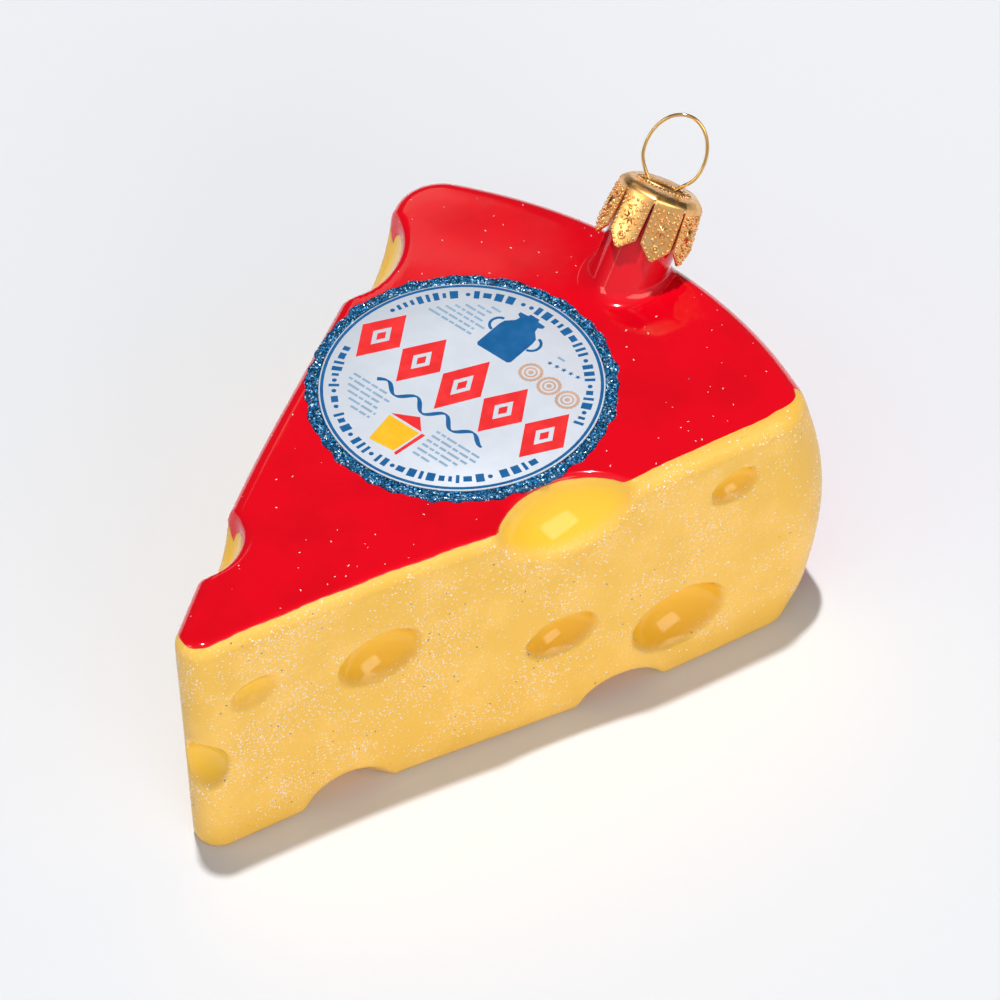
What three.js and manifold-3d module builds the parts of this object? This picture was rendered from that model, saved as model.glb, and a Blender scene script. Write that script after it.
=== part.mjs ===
// A blown-glass tree ornament in the shape of a wedge of waxed cheese.
// Millimetres, +Z up. It rests on its broad flat underside, with the wedge's tip towards -Y, the
// rind towards +Y, and the origin at the middle of the underside's bounding rectangle.
// Until the whole is centred at the end, everything is placed from the point where the two cut
// faces would meet if the tip were sharp.
import * as THREE from 'three';
import { mergeVertices } from 'three/addons/utils/BufferGeometryUtils.js';
import Module from 'manifold-3d';

// ---- Driving dimensions ----
const SIDE = 90;
const WEDGE_ANGLE = THREE.MathUtils.degToRad(43.8);
const THICKNESS = 36;
const REAR_RADIUS = 63.5;
const TIP_RADIUS = 3.2;
const CORNER_RADIUS = 6.2;
const WALL = 1;

// How far each edge is rounded: inwards, and up or down.
const TOP_ROUND = { inwards: 2, height: 2 };
const CUT_FOOT_ROUND = { inwards: 1.9, height: 2.2 };
const RIND_FOOT_ROUND = { inwards: 5.6, height: 5 };
const RIND_BULGE = 3.3;
// The blown cut faces bow: a whole and a half wave along the face, in millimetres outwards.
const LEFT_BOW = { half: 1, whole: 0.3 };
const RIGHT_BOW = { half: 0.2, whole: -0.6 };

// Eye holes: along is the distance from the sharp tip, down the distance below the top, long and
// tall the opening's half sizes, deep its depth and tilt its slope in degrees.
const RIGHT_HOLES = [
  { along: 12.8, down: 10.2, long: 3.4, tall: 2.2, deep: 1.1, tilt: -12 },
  { along: 29, down: 13.2, long: 5.7, tall: 4, deep: 2.8, tilt: -10 },
  { along: 52.5, down: 21, long: 4.6, tall: 3, deep: 2, tilt: -8 },
  { along: 68.6, down: 26.2, long: 6.3, tall: 4.6, deep: 2.8, tilt: -8 },
  { along: 76.3, down: 6.8, long: 3.2, tall: 2.3, deep: 1.4, tilt: -10 },
  { along: 53.6, down: -1, long: 9.2, tall: 7.6, deep: 5.4, tilt: 0 },
  { along: 24, down: 37, long: 6.2, tall: 5.2, deep: 3.4, tilt: 0 },
  { along: 60.5, down: 37, long: 5.8, tall: 4.2, deep: 3.2, tilt: 0 },
];
const LEFT_HOLES = [
  { along: 21.4, down: -0.6, long: 5.2, tall: 6, deep: 2.6, tilt: 0 },
  { along: 72.4, down: -1, long: 8.2, tall: 7.4, deep: 4, tilt: 0 },
  { along: 38, down: 15, long: 5, tall: 3.6, deep: 2.4, tilt: 8 },
  { along: 55, down: 25, long: 6, tall: 4.2, deep: 2.8, tilt: 6 },
  { along: 14, down: 22, long: 3.4, tall: 2.4, deep: 1.2, tilt: 10 },
  { along: 78, down: 20, long: 3.4, tall: 2.6, deep: 1.5, tilt: -6 },
  { along: 34, down: 37, long: 6, tall: 4.4, deep: 3, tilt: 0 },
];
const TIP_HOLE = { down: 20.6, radius: 4.6, deep: 1.6, aside: 2.1, outwards: 1.65 };
// How far a hole's middle stands outside the face, as a share of the hole's depth.
const HOLE_STAND_OFF = 0.6;

const LABEL = { x: -2.8, y: 57.2, radius: 17.1, thickness: 0.25, glue: 0.05 };
const GLITTER = { inner: 17.2, outer: 19, height: 0.5 };

// The neck's axis lies in the plane of symmetry and leans back. Its zero is the level of the
// cap's petal tips, and heights below are measured along it.
const NECK_LEAN = THREE.MathUtils.degToRad(54);
const NECK_ZERO = new THREE.Vector3(0, 87.15, 39.1);
// Outer radius of the neck at each height, from inside the body to the lip.
const NECK_PROFILE = [[-9, 6.6], [-5, 6.5], [-3.6, 6], [-2.2, 5.2], [-0.8, 4.7], [1, 4.5], [7.3, 4.4]];

const CAP = {
  corners: 8, wall: 0.4, skirtTop: 7.9, plateTop: 8.7, flatRadius: 4.3, shoulderRadius: 5.5,
  hemRadius: 6.2, gable: 1.7, slitTop: 7.4, slitHalfTop: 0.13, slitHalfFoot: 0.32, petalHalf: 2.25,
};
const SLOT = { angle: THREE.MathUtils.degToRad(25), long: 4.9, wide: 1.6, lip: 0.45, lipHeight: 0.5 };
const WIRE = { diameter: 0.5, sides: 6, steps: 60 };
// The loop is an arc of an ellipse, open at the foot, and each leg is a list of points from it
// down into the neck: how far from the axis, and how high along it.
const LOOP = { middle: 12.6, aside: -0.4, tall: 5.25, wide: 3.6, halfTurn: 120, steps: 12 };
const HANGER_LEG = [[1.95, 9.2], [1.7, 8.1], [1.7, 6.6], [2.1, 4.4], [2.8, 1.2]];

// How finely each shape is divided.
const OUTSIDE_STEPS = { face: 18, arc: 8, levels: 12 };
const INSIDE_STEPS = { face: 12, arc: 5, levels: 9 };
const HOLE_STEPS = [14, 8];
const NECK_STEPS = 24;
const LABEL_STEPS = 64;
const RING_STEPS = { around: 48, crown: 5 };
// The neck's bore is cut this much longer than the neck, and the lids of the wedge are fans round
// a point this share of the way from the tip to the rind.
const BORE_OVERRUN = 0.5;
const LID_MIDDLE = 0.6;

const wasm = await Module();
wasm.setup();

// ---- Solids ----
function toSolid(geometry) {
  const bare = geometry.clone();
  bare.deleteAttribute('normal');
  bare.deleteAttribute('uv');
  const merged = mergeVertices(bare, 1e-5);
  return new wasm.Manifold(new wasm.Mesh({
    numProp: 3,
    vertProperties: new Float32Array(merged.attributes.position.array),
    triVerts: new Uint32Array(merged.index.array),
  }));
}

function toGeometry(solid) {
  const mesh = solid.getMesh();
  const geometry = new THREE.BufferGeometry();
  geometry.setAttribute('position', new THREE.BufferAttribute(mesh.vertProperties, 3));
  geometry.setIndex(new THREE.BufferAttribute(mesh.triVerts, 1));
  geometry.computeVertexNormals();
  return geometry;
}

function joined(geometries) {
  return geometries.map(toSolid).reduce((whole, piece) => whole.add(piece));
}

function namedMesh(name, geometry, colour, roughness, metalness) {
  const material = new THREE.MeshStandardMaterial({ color: colour, roughness, metalness });
  const mesh = new THREE.Mesh(geometry, material);
  mesh.name = name;
  return mesh;
}

// ---- Plan outline of the wedge ----
// Each point is an arc centre, the arc's radius, the outward direction, how much of the point
// belongs to the rind (0 to 1) and how far the cut face bows there.
function outlinePoint(centre, radius, direction, rind = 0, bow = 0) {
  return { centre, radius, direction, rind, bow };
}

function arcPoints(centre, radius, from, to, steps, rindAt) {
  return Array.from({ length: steps + 1 }, (_, i) => {
    const share = i / steps;
    return outlinePoint(centre, radius, from + (to - from) * share, rindAt(share));
  });
}

function facePoints(tip, corner, direction, bow, steps) {
  return Array.from({ length: steps - 1 }, (_, i) => {
    const share = (i + 1) / steps;
    const centre = tip.clone().lerp(corner, share);
    const radius = TIP_RADIUS + (CORNER_RADIUS - TIP_RADIUS) * share;
    const outwards = bow.half * Math.sin(Math.PI * share) + bow.whole * Math.sin(2 * Math.PI * share);
    return outlinePoint(centre, radius, direction, 0, outwards);
  });
}

// The corner's arc touches both the cut face and the rind's arc from inside.
function cornerCentre(rearCentre) {
  const half = WEDGE_ANGLE / 2;
  const alongFace = new THREE.Vector2(Math.sin(half), Math.cos(half));
  const start = new THREE.Vector2(-Math.cos(half), Math.sin(half)).multiplyScalar(CORNER_RADIUS);
  const away = start.clone().sub(rearCentre);
  const middle = away.dot(alongFace);
  const reach = REAR_RADIUS - CORNER_RADIUS;
  const step = -middle + Math.sqrt(middle * middle - away.lengthSq() + reach * reach);
  return start.addScaledVector(alongFace, step);
}

function planOutline(faceSteps, arcSteps) {
  const half = WEDGE_ANGLE / 2;
  const rear = new THREE.Vector2(0, SIDE - REAR_RADIUS);
  const tip = new THREE.Vector2(0, TIP_RADIUS / Math.sin(half));
  const right = cornerCentre(rear);
  const left = new THREE.Vector2(-right.x, right.y);
  const turn = Math.atan2(right.y - rear.y, right.x - rear.x);
  const faceSpan = [-half, Math.PI + half];
  return [
    ...arcPoints(tip, TIP_RADIUS, faceSpan[1] - 2 * Math.PI, faceSpan[0], arcSteps, () => 0),
    ...facePoints(tip, right, faceSpan[0], RIGHT_BOW, faceSteps),
    ...arcPoints(right, CORNER_RADIUS, faceSpan[0], turn, arcSteps, (share) => share),
    ...arcPoints(rear, REAR_RADIUS, turn, Math.PI - turn, 2 * arcSteps, () => 1).slice(1, -1),
    ...arcPoints(left, CORNER_RADIUS, Math.PI - turn, faceSpan[1], arcSteps, (share) => 1 - share),
    ...facePoints(tip, left, faceSpan[1], LEFT_BOW, faceSteps).reverse(),
  ];
}

// ---- Wedge solid, built up as a stack of outlines ----
function roundedInset(depthIntoRound, round) {
  const share = Math.min(1, Math.max(0, depthIntoRound / round.height));
  return round.inwards * (1 - Math.sqrt(1 - share * share));
}

function insetAt(z, rind, wall) {
  const top = THICKNESS - wall;
  const shrink = (round) => ({ inwards: round.inwards - wall, height: round.height - wall });
  const [topRound, cutRound, rindRound] = [TOP_ROUND, CUT_FOOT_ROUND, RIND_FOOT_ROUND].map(shrink);
  const above = roundedInset(z - (top - topRound.height), topRound);
  const cut = above + roundedInset(wall + cutRound.height - z, cutRound);
  const bulge = RIND_BULGE * Math.sin((Math.PI * z) / THICKNESS);
  const rindInset = above + roundedInset(wall + rindRound.height - z, rindRound) - bulge;
  const blend = THREE.MathUtils.smoothstep(rind, 0, 1);
  return wall + cut * (1 - blend) + rindInset * blend;
}

function stackLevels(wall, count) {
  const height = THICKNESS - 2 * wall;
  return Array.from({ length: count }, (_, i) => {
    const share = (1 - Math.cos((Math.PI * i) / (count - 1))) / 2;
    return wall + height * share;
  });
}

function wedgeGeometry(wall, steps) {
  const outline = planOutline(steps.face, steps.arc);
  const levels = stackLevels(wall, steps.levels);
  const positions = [];
  for (const z of levels) {
    for (const point of outline) {
      const reach = point.radius + point.bow - insetAt(z, point.rind, wall);
      const x = point.centre.x + reach * Math.cos(point.direction);
      const y = point.centre.y + reach * Math.sin(point.direction);
      positions.push(x, y, z);
    }
  }
  const around = outline.length;
  const indices = [];
  for (let level = 0; level < levels.length - 1; level += 1) {
    for (let i = 0; i < around; i += 1) {
      const a = level * around + i;
      const b = level * around + ((i + 1) % around);
      indices.push(a, b, b + around, a, b + around, a + around);
    }
  }
  addLid(positions, indices, 0, around, levels[0], false);
  addLid(positions, indices, (levels.length - 1) * around, around, levels.at(-1), true);
  const geometry = new THREE.BufferGeometry();
  geometry.setAttribute('position', new THREE.Float32BufferAttribute(positions, 3));
  geometry.setIndex(indices);
  return geometry;
}

function addLid(positions, indices, first, around, z, faceUp) {
  const middle = positions.length / 3;
  positions.push(0, SIDE * LID_MIDDLE, z);
  for (let i = 0; i < around; i += 1) {
    const a = first + i;
    const b = first + ((i + 1) % around);
    indices.push(middle, faceUp ? a : b, faceUp ? b : a);
  }
}

// ---- Eye holes ----
// A hole is an ellipsoid whose middle stands a little outside the face, grown for the inner wall.
function holeGeometry(hole, isLeft, growth) {
  const standOff = hole.deep * HOLE_STAND_OFF;
  const openingShare = Math.sqrt(1 - (standOff / (hole.deep + standOff)) ** 2);
  const geometry = new THREE.SphereGeometry(1, ...HOLE_STEPS);
  geometry.scale(
    hole.long / openingShare + growth,
    hole.deep + standOff + growth,
    hole.tall / openingShare + growth,
  );
  geometry.rotateY(THREE.MathUtils.degToRad(hole.tilt));
  geometry.translate(0, -standOff, THICKNESS - hole.down);
  const half = WEDGE_ANGLE / 2;
  const side = isLeft ? -1 : 1;
  // Local X runs along the face away from the tip or towards it, and local -Y faces outwards.
  geometry.translate(side * hole.along, 0, 0);
  geometry.rotateZ(side * (Math.PI / 2 - half));
  return geometry;
}

function tipHoleGeometry(growth) {
  const apex = TIP_RADIUS / Math.sin(WEDGE_ANGLE / 2) - TIP_RADIUS;
  const radius = TIP_HOLE.radius + growth;
  const geometry = new THREE.SphereGeometry(radius, ...HOLE_STEPS);
  geometry.translate(TIP_HOLE.aside, apex - TIP_HOLE.outwards, THICKNESS - TIP_HOLE.down);
  return geometry;
}

function allHoles(growth) {
  return joined([
    ...RIGHT_HOLES.map((hole) => holeGeometry(hole, false, growth)),
    ...LEFT_HOLES.map((hole) => holeGeometry(hole, true, growth)),
    tipHoleGeometry(growth),
  ]);
}

// ---- Neck ----
// Turns a shape modelled upright about +Z into the neck's place.
function placeOnNeck(geometry) {
  geometry.rotateX(NECK_LEAN - Math.PI / 2);
  geometry.translate(NECK_ZERO.x, NECK_ZERO.y, NECK_ZERO.z);
  return geometry;
}

function lathed(points, segments) {
  const profile = points.map(([radius, height]) => new THREE.Vector2(radius, height));
  const geometry = new THREE.LatheGeometry(profile, segments);
  geometry.rotateX(Math.PI / 2);
  return geometry;
}

function neckGeometry(wall, overrun) {
  const top = NECK_PROFILE.at(-1)[0] + overrun;
  const foot = NECK_PROFILE[0][0] - overrun;
  const outer = NECK_PROFILE.map(([height, radius]) => [radius - wall, height]);
  outer[0][1] = foot;
  outer.at(-1)[1] = top;
  return placeOnNeck(lathed([[0, foot], ...outer, [0, top]], NECK_STEPS));
}

function glassBody() {
  const outside = toSolid(wedgeGeometry(0, OUTSIDE_STEPS)).subtract(allHoles(0));
  const inside = toSolid(wedgeGeometry(WALL, INSIDE_STEPS)).subtract(allHoles(WALL));
  const shell = outside.add(toSolid(neckGeometry(0, 0)));
  const hollow = inside.add(toSolid(neckGeometry(WALL, BORE_OVERRUN)));
  return toGeometry(shell.subtract(hollow));
}

// ---- Label and its glitter ring ----
function labelDisc() {
  const { radius, thickness } = LABEL;
  const geometry = new THREE.CylinderGeometry(radius, radius, thickness, LABEL_STEPS);
  geometry.rotateX(Math.PI / 2);
  geometry.translate(LABEL.x, LABEL.y, THICKNESS + LABEL.glue + LABEL.thickness / 2);
  return geometry;
}

function glitterRing() {
  const middle = (GLITTER.inner + GLITTER.outer) / 2;
  const half = (GLITTER.outer - GLITTER.inner) / 2;
  const crown = Array.from({ length: RING_STEPS.crown + 1 }, (_, i) => {
    const angle = (Math.PI * i) / RING_STEPS.crown;
    return [middle + half * Math.cos(angle), GLITTER.height * Math.sin(angle)];
  });
  const geometry = lathed([...crown, crown[0]], RING_STEPS.around);
  geometry.translate(LABEL.x, LABEL.y, THICKNESS + LABEL.glue);
  return geometry;
}

// ---- Crown cap ----
function capShell() {
  const slope = CAP.hemRadius - CAP.shoulderRadius;
  const inside = (radius) => radius - CAP.wall / Math.cos(Math.PI / CAP.corners);
  const profile = [
    [0, CAP.plateTop - CAP.wall],
    [inside(CAP.flatRadius), CAP.plateTop - CAP.wall],
    [inside(CAP.shoulderRadius), CAP.skirtTop - CAP.wall / 2],
    [inside(CAP.shoulderRadius + slope), 0],
    [CAP.shoulderRadius + slope, 0],
    [CAP.shoulderRadius, CAP.skirtTop],
    [CAP.flatRadius, CAP.plateTop],
    [0, CAP.plateTop],
  ];
  return lathed(profile, CAP.corners);
}

// A slit and the gable cuts on both sides of it, run right through two opposite corners.
function petalCutter() {
  const below = -1;
  const outline = [
    [CAP.slitHalfTop, CAP.slitTop], [CAP.slitHalfFoot, CAP.gable], [CAP.petalHalf, 0],
    [CAP.petalHalf, below],
  ];
  const mirrored = outline.map(([x, z]) => [-x, z]).reverse();
  const shape = new THREE.Shape([...outline, ...mirrored].map(([x, z]) => new THREE.Vector2(x, z)));
  const length = 4 * CAP.hemRadius;
  const geometry = new THREE.ExtrudeGeometry(shape, { depth: length, bevelEnabled: false });
  geometry.translate(0, 0, -length / 2);
  geometry.rotateX(Math.PI / 2);
  return geometry;
}

function ovalShape(long, wide) {
  const shape = new THREE.Shape();
  shape.absellipse(0, 0, long / 2, wide / 2, 0, 2 * Math.PI);
  return shape;
}

function ovalPrism(long, wide, low, high) {
  const settings = { depth: high - low, bevelEnabled: false, curveSegments: 12 };
  const geometry = new THREE.ExtrudeGeometry(ovalShape(long, wide), settings);
  geometry.translate(0, 0, low);
  return geometry;
}

function capGeometry() {
  const plateFoot = CAP.plateTop - 2 * CAP.wall;
  const lipTop = CAP.plateTop + SLOT.lipHeight;
  let solid = toSolid(capShell());
  for (let i = 0; i < CAP.corners / 2; i += 1) {
    const cutter = petalCutter().rotateZ((2 * Math.PI * i) / CAP.corners);
    solid = solid.subtract(toSolid(cutter));
  }
  const inPlate = CAP.plateTop - CAP.wall / 2;
  const lip = ovalPrism(SLOT.long + 2 * SLOT.lip, SLOT.wide + 2 * SLOT.lip, inPlate, lipTop);
  const opening = ovalPrism(SLOT.long, SLOT.wide, plateFoot, lipTop + CAP.wall);
  solid = solid.add(toSolid(lip)).subtract(toSolid(opening));
  const geometry = toGeometry(solid);
  geometry.rotateZ(SLOT.angle);
  return placeOnNeck(geometry);
}

// ---- Wire hanger ----
// The route lies in the plane of the slot: across is along the slot, up is along the neck.
function hangerRoute() {
  const arc = Array.from({ length: LOOP.steps + 1 }, (_, i) => {
    const angle = THREE.MathUtils.degToRad(LOOP.halfTurn * ((2 * i) / LOOP.steps - 1));
    return [LOOP.aside + LOOP.wide * Math.sin(angle), LOOP.middle + LOOP.tall * Math.cos(angle)];
  });
  const leftLeg = HANGER_LEG.map(([across, up]) => [-across, up]).reverse();
  const route = [...leftLeg, ...arc, ...HANGER_LEG];
  const points = route.map(([across, up]) => new THREE.Vector3(across, 0, up));
  return new THREE.CatmullRomCurve3(points, false, 'centripetal');
}

function wireHanger() {
  const section = new THREE.Shape();
  for (let i = 0; i < WIRE.sides; i += 1) {
    const angle = (2 * Math.PI * (i + 0.5)) / WIRE.sides;
    const [x, y] = [Math.cos(angle), Math.sin(angle)].map((part) => (part * WIRE.diameter) / 2);
    if (i === 0) section.moveTo(x, y);
    else section.lineTo(x, y);
  }
  const settings = { steps: WIRE.steps, extrudePath: hangerRoute(), bevelEnabled: false };
  const geometry = new THREE.ExtrudeGeometry(section, settings);
  geometry.rotateZ(SLOT.angle);
  return placeOnNeck(geometry);
}

// ---- Assembly ----
const group = new THREE.Group();
group.add(namedMesh('glass_body', glassBody(), 0xe0a840, 0.15, 0));
group.add(namedMesh('label', labelDisc(), 0xd6dae1, 0.5, 0));
group.add(namedMesh('glitter_ring', glitterRing(), 0x0f5a96, 0.35, 0.6));
group.add(namedMesh('cap', capGeometry(), 0xd9a85a, 0.3, 1));
group.add(namedMesh('wire_hanger', wireHanger(), 0xd9b070, 0.25, 1));

const box = new THREE.Box3().setFromObject(group);
const middle = box.getCenter(new THREE.Vector3());
group.position.set(-middle.x, -middle.y, -box.min.z);

export default group;
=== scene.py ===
"""Looks of a blown-glass tree ornament shaped like a wedge of waxed cheese.

The wedge, its sunken holes and its neck are one lacquered glass piece. On it sit a printed paper
label, a ring of glitter, a stamped gold crown cap and a wire hanger.
"""

import math
import random

import bpy
import numpy as np
from bpy.props import FloatProperty, FloatVectorProperty, IntProperty, PointerProperty
from mathutils import Matrix, Vector
from mathutils.bvhtree import BVHTree


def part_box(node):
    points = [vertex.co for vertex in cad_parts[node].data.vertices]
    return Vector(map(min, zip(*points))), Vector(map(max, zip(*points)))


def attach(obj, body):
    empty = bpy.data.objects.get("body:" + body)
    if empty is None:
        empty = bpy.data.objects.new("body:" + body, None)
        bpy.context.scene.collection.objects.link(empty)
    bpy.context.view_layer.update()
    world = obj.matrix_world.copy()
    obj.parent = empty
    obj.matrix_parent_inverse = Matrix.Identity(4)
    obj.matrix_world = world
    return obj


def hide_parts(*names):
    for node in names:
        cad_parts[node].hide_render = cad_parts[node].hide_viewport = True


bl_info = {
    "name": "Glass cheese wedge ornament",
    "version": (1, 0, 0),
    "blender": (4, 5, 0),
    "location": "3D View > Sidebar > Ornament",
    "description": "Builds a lacquered glass cheese wedge with its label, glitter, cap and hanger",
    "category": "Add Mesh",
}

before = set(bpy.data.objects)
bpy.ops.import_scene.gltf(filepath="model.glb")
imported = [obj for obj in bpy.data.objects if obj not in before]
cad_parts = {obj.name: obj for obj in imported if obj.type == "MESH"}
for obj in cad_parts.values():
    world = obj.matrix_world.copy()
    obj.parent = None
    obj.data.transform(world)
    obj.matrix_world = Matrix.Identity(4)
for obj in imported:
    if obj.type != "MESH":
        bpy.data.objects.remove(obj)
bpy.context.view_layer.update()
BODY_LOW, BODY_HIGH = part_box("glass_body")
LABEL_LOW, LABEL_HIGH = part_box("label")
RING_LOW, RING_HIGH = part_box("glitter_ring")
LABEL_MIDDLE = (LABEL_LOW + LABEL_HIGH) / 2
LABEL_RADIUS = (LABEL_HIGH.x - LABEL_LOW.x) / 2

MM = 0.001
UP = Vector((0, 0, 1))


# ---- What a user would change ----
def length(name, description, default):
    return FloatProperty(
        name=name, description=description, default=default, unit="LENGTH", precision=4
    )


def angle(name, description, degrees):
    return FloatProperty(
        name=name, description=description, default=math.radians(degrees), unit="ROTATION"
    )


def colour(name, description, red, green, blue):
    """A colour given as it looks on a screen, 0 to 255, and kept as linear light."""
    shares = [c / 255 for c in (red, green, blue)]
    linear = [c / 12.92 if c <= 0.04 else ((c + 0.055) / 1.055) ** 2.4 for c in shares]
    return FloatVectorProperty(
        name=name, description=description, default=linear, subtype="COLOR", min=0, max=1
    )


class OrnamentWedge(bpy.types.PropertyGroup):
    """Sizes of the glass wedge and its neck."""

    side: length("Side", "From the sharp tip to the middle of the rind", 90 * MM)
    spread: angle("Wedge angle", "Angle between the two cut faces", 43.8)
    thickness: length("Thickness", "Height of the wedge", 36 * MM)
    rear_radius: length("Rind radius", "Radius of the rind seen from above", 63.5 * MM)
    tip_radius: length("Tip radius", "Rounding of the tip seen from above", 3.2 * MM)
    corner_radius: length("Corner radius", "Rounding where a cut face meets the rind", 6.2 * MM)
    top_round: length("Top rounding", "Rounding of the upper edge", 2 * MM)
    bulge: length("Rind bulge", "How far the rind swells at half height", 3.3 * MM)
    neck_lean: angle("Neck lean", "Slope of the neck above the horizontal", 54)
    mesh_step: length("Mesh step", "Distance between neighbouring points of the glass", 0.42 * MM)
    rim: length("Hole rim", "Softness of the edge of a hole", 0.45 * MM)
    ripple: length("Ripple", "Height of the slow waves in the blown glass", 0.045 * MM)


class OrnamentLabel(bpy.types.PropertyGroup):
    """Sizes of the label, its print and its glitter."""

    print_height: length("Print height", "Thickness of the printed shapes", 0.012 * MM)
    flake: length("Flake size", "Radius of the largest flake in the glitter ring", 0.23 * MM)
    flakes_per_mm2: FloatProperty(
        name="Flakes per mm2", description="How thickly the ring is strewn with glitter", default=40
    )
    speck: length("Speck size", "Radius of the largest pale speck on the cut faces", 0.21 * MM)
    specks_per_mm2: FloatProperty(
        name="Specks per mm2", description="How many pale specks lie on the cut faces", default=4.0
    )


class OrnamentCap(bpy.types.PropertyGroup):
    """Sizes of the stamped crown cap and the wire hanger."""

    petals: IntProperty(name="Petals", description="Number of petals round the cap", default=8)
    hem_radius: length("Hem radius", "Corner radius level with the petal tips", 6.2 * MM)
    shoulder_radius: length("Shoulder radius", "Corner radius where the petals end", 5.4 * MM)
    plate_radius: length("Plate radius", "Corner radius of the flat top plate", 4.5 * MM)
    shoulder: length("Shoulder height", "From the petal tips to the shoulder", 7.2 * MM)
    plate: length("Plate height", "From the petal tips to the top plate", 7.9 * MM)
    gable: length("Gable", "Height of each petal's pointed tip", 1.7 * MM)
    sheet: length("Sheet", "Thickness of the stamped metal", 0.3 * MM)
    turn: angle("Turn", "Turn of the slot and the petals round the neck", 25)
    bead: length("Bead", "Radius of a stamped bead", 0.21 * MM)
    wire: length("Wire", "Diameter of the hanger's wire", 0.45 * MM)


class OrnamentColours(bpy.types.PropertyGroup):
    """Colours of the finishes."""

    wax: colour("Red lacquer", "Top, rind and underside", 237, 4, 27)
    cheese: colour("Yellow lacquer", "Cut faces", 247, 193, 80)
    hollow: colour("Deep yellow lacquer", "Insides of the holes", 255, 200, 56)
    # Painted shade: the ochre that darkens the downward-facing walls inside the holes, where shade falls.
    painted_hole_shade: colour("Painted hole shade", "Painted shade under the upper rim of the holes", 224, 146, 30)
    paper: colour("Paper", "Ground of the label", 214, 219, 227)
    print_red: colour("Red print", "Large shapes on the label", 240, 40, 42)
    print_blue: colour("Blue print", "Border and shapes on the label", 0, 94, 152)
    print_pale: colour("Pale blue print", "Fine bars on the label", 145, 174, 198)
    print_gold: colour("Buff print", "Seals on the label", 205, 165, 140)
    print_yellow: colour("Yellow print", "Small wedge on the label", 252, 190, 30)
    glitter: colour("Glitter", "Middle tone of the ring", 0, 102, 152)
    gold: colour("Gold", "Cap", 250, 196, 128)
    wire: colour("Wire gold", "Hanger", 240, 196, 124)
    floor: colour("Floor", "Surface under the ornament", 236, 237, 239)


class OrnamentStage(bpy.types.PropertyGroup):
    """Camera and light."""

    aim: FloatVectorProperty(
        name="Aim", description="Point the camera looks at", default=(0.84 * MM, 7.74 * MM, 16.64 * MM),
        subtype="TRANSLATION", precision=5,
    )
    azimuth: angle("Azimuth", "Turn of the camera round the ornament", 42.04)
    elevation: angle("Elevation", "Height of the camera above the horizon", 47.35)
    roll: angle("Roll", "Turn of the camera about its line of sight", -1.57)
    distance: length("Distance", "From the camera to the point it looks at", 600 * MM)
    lens: FloatProperty(name="Lens", description="Focal length in millimetres", default=175.8)
    sun: FloatProperty(name="Key light", description="Strength of the key light", default=2.3)
    fill: FloatProperty(name="Fill light", description="Strength of the low light in front", default=1.35)
    sky: FloatProperty(name="Room light", description="Strength of the room's light", default=1.0)
    rear_panel: FloatProperty(name="Rear panel", description="Strength of the panel behind", default=1.1)
    side_panel: FloatProperty(
        name="Side panel", description="Strength of the panel at the side", default=3.8
    )
    front_panel: FloatProperty(name="Front panel", description="Strength of the panel in front", default=4.5)


# ---- Meshes from arrays ----
def new_piece(name, points, faces, smooth=True):
    mesh = bpy.data.meshes.new(name)
    mesh.from_pydata([tuple(p) for p in points], [], [tuple(f) for f in faces])
    mesh.validate()
    mesh.shade_smooth() if smooth else mesh.shade_flat()
    piece = bpy.data.objects.new(name, mesh)
    bpy.context.scene.collection.objects.link(piece)
    return piece


def baked(piece):
    """Turns the evaluated piece into a plain mesh and drops its modifiers."""
    bpy.context.view_layer.update()
    evaluated = piece.evaluated_get(bpy.context.evaluated_depsgraph_get())
    mesh = bpy.data.meshes.new_from_object(evaluated)
    piece.modifiers.clear()
    piece.data = mesh
    return piece


def settle(piece, slot, *nodes):
    """Fixes a finished piece to the ornament's body and hides the CAD parts it stands in for. The slot is
    not used.
    """
    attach(piece, "root")
    if nodes:
        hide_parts(*nodes)
    return piece


def add_attribute(piece, name, values):
    attribute = piece.data.attributes.new(name, "FLOAT", "POINT")
    attribute.data.foreach_set("value", np.asarray(values, np.float32))


class Parts:
    """Several closed shapes gathered into one mesh."""

    def __init__(self):
        self.points, self.faces = [], []

    def add(self, points, faces):
        first = len(self.points)
        self.points += [tuple(p) for p in points]
        self.faces += [tuple(i + first for i in f) for f in faces]

    def piece(self, name, smooth=True):
        return new_piece(name, self.points, self.faces, smooth)


def grid_faces(rows, columns, closed=False):
    """Quads between rows of points that run anticlockwise seen from outside, row after row up."""
    last = columns if closed else columns - 1
    faces = []
    for r in range(rows - 1):
        for c in range(last):
            a, b = r * columns + c, r * columns + (c + 1) % columns
            faces.append((a, b, b + columns, a + columns))
    return faces


def full_turn(count):
    """Even angles once round."""
    return np.arange(count) * 2 * math.pi / count


def closing_faces(rows, columns):
    """Quads that join the last row of points back to the first."""
    last = (rows - 1) * columns
    return [(last + c, last + (c + 1) % columns, (c + 1) % columns, c) for c in range(columns)]


def end_faces(rows, columns):
    """The flat faces over the first and the last row of points."""
    last = (rows - 1) * columns
    return [tuple(reversed(range(columns))), tuple(range(last, last + columns))]


def lid_faces(rows, columns, low, high):
    """Triangles from the first row to a low middle point and from the last row to a high one."""
    last = (rows - 1) * columns
    faces = []
    for c in range(columns):
        n = (c + 1) % columns
        faces += [(n, c, low), (last + c, last + n, high)]
    return faces


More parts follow.
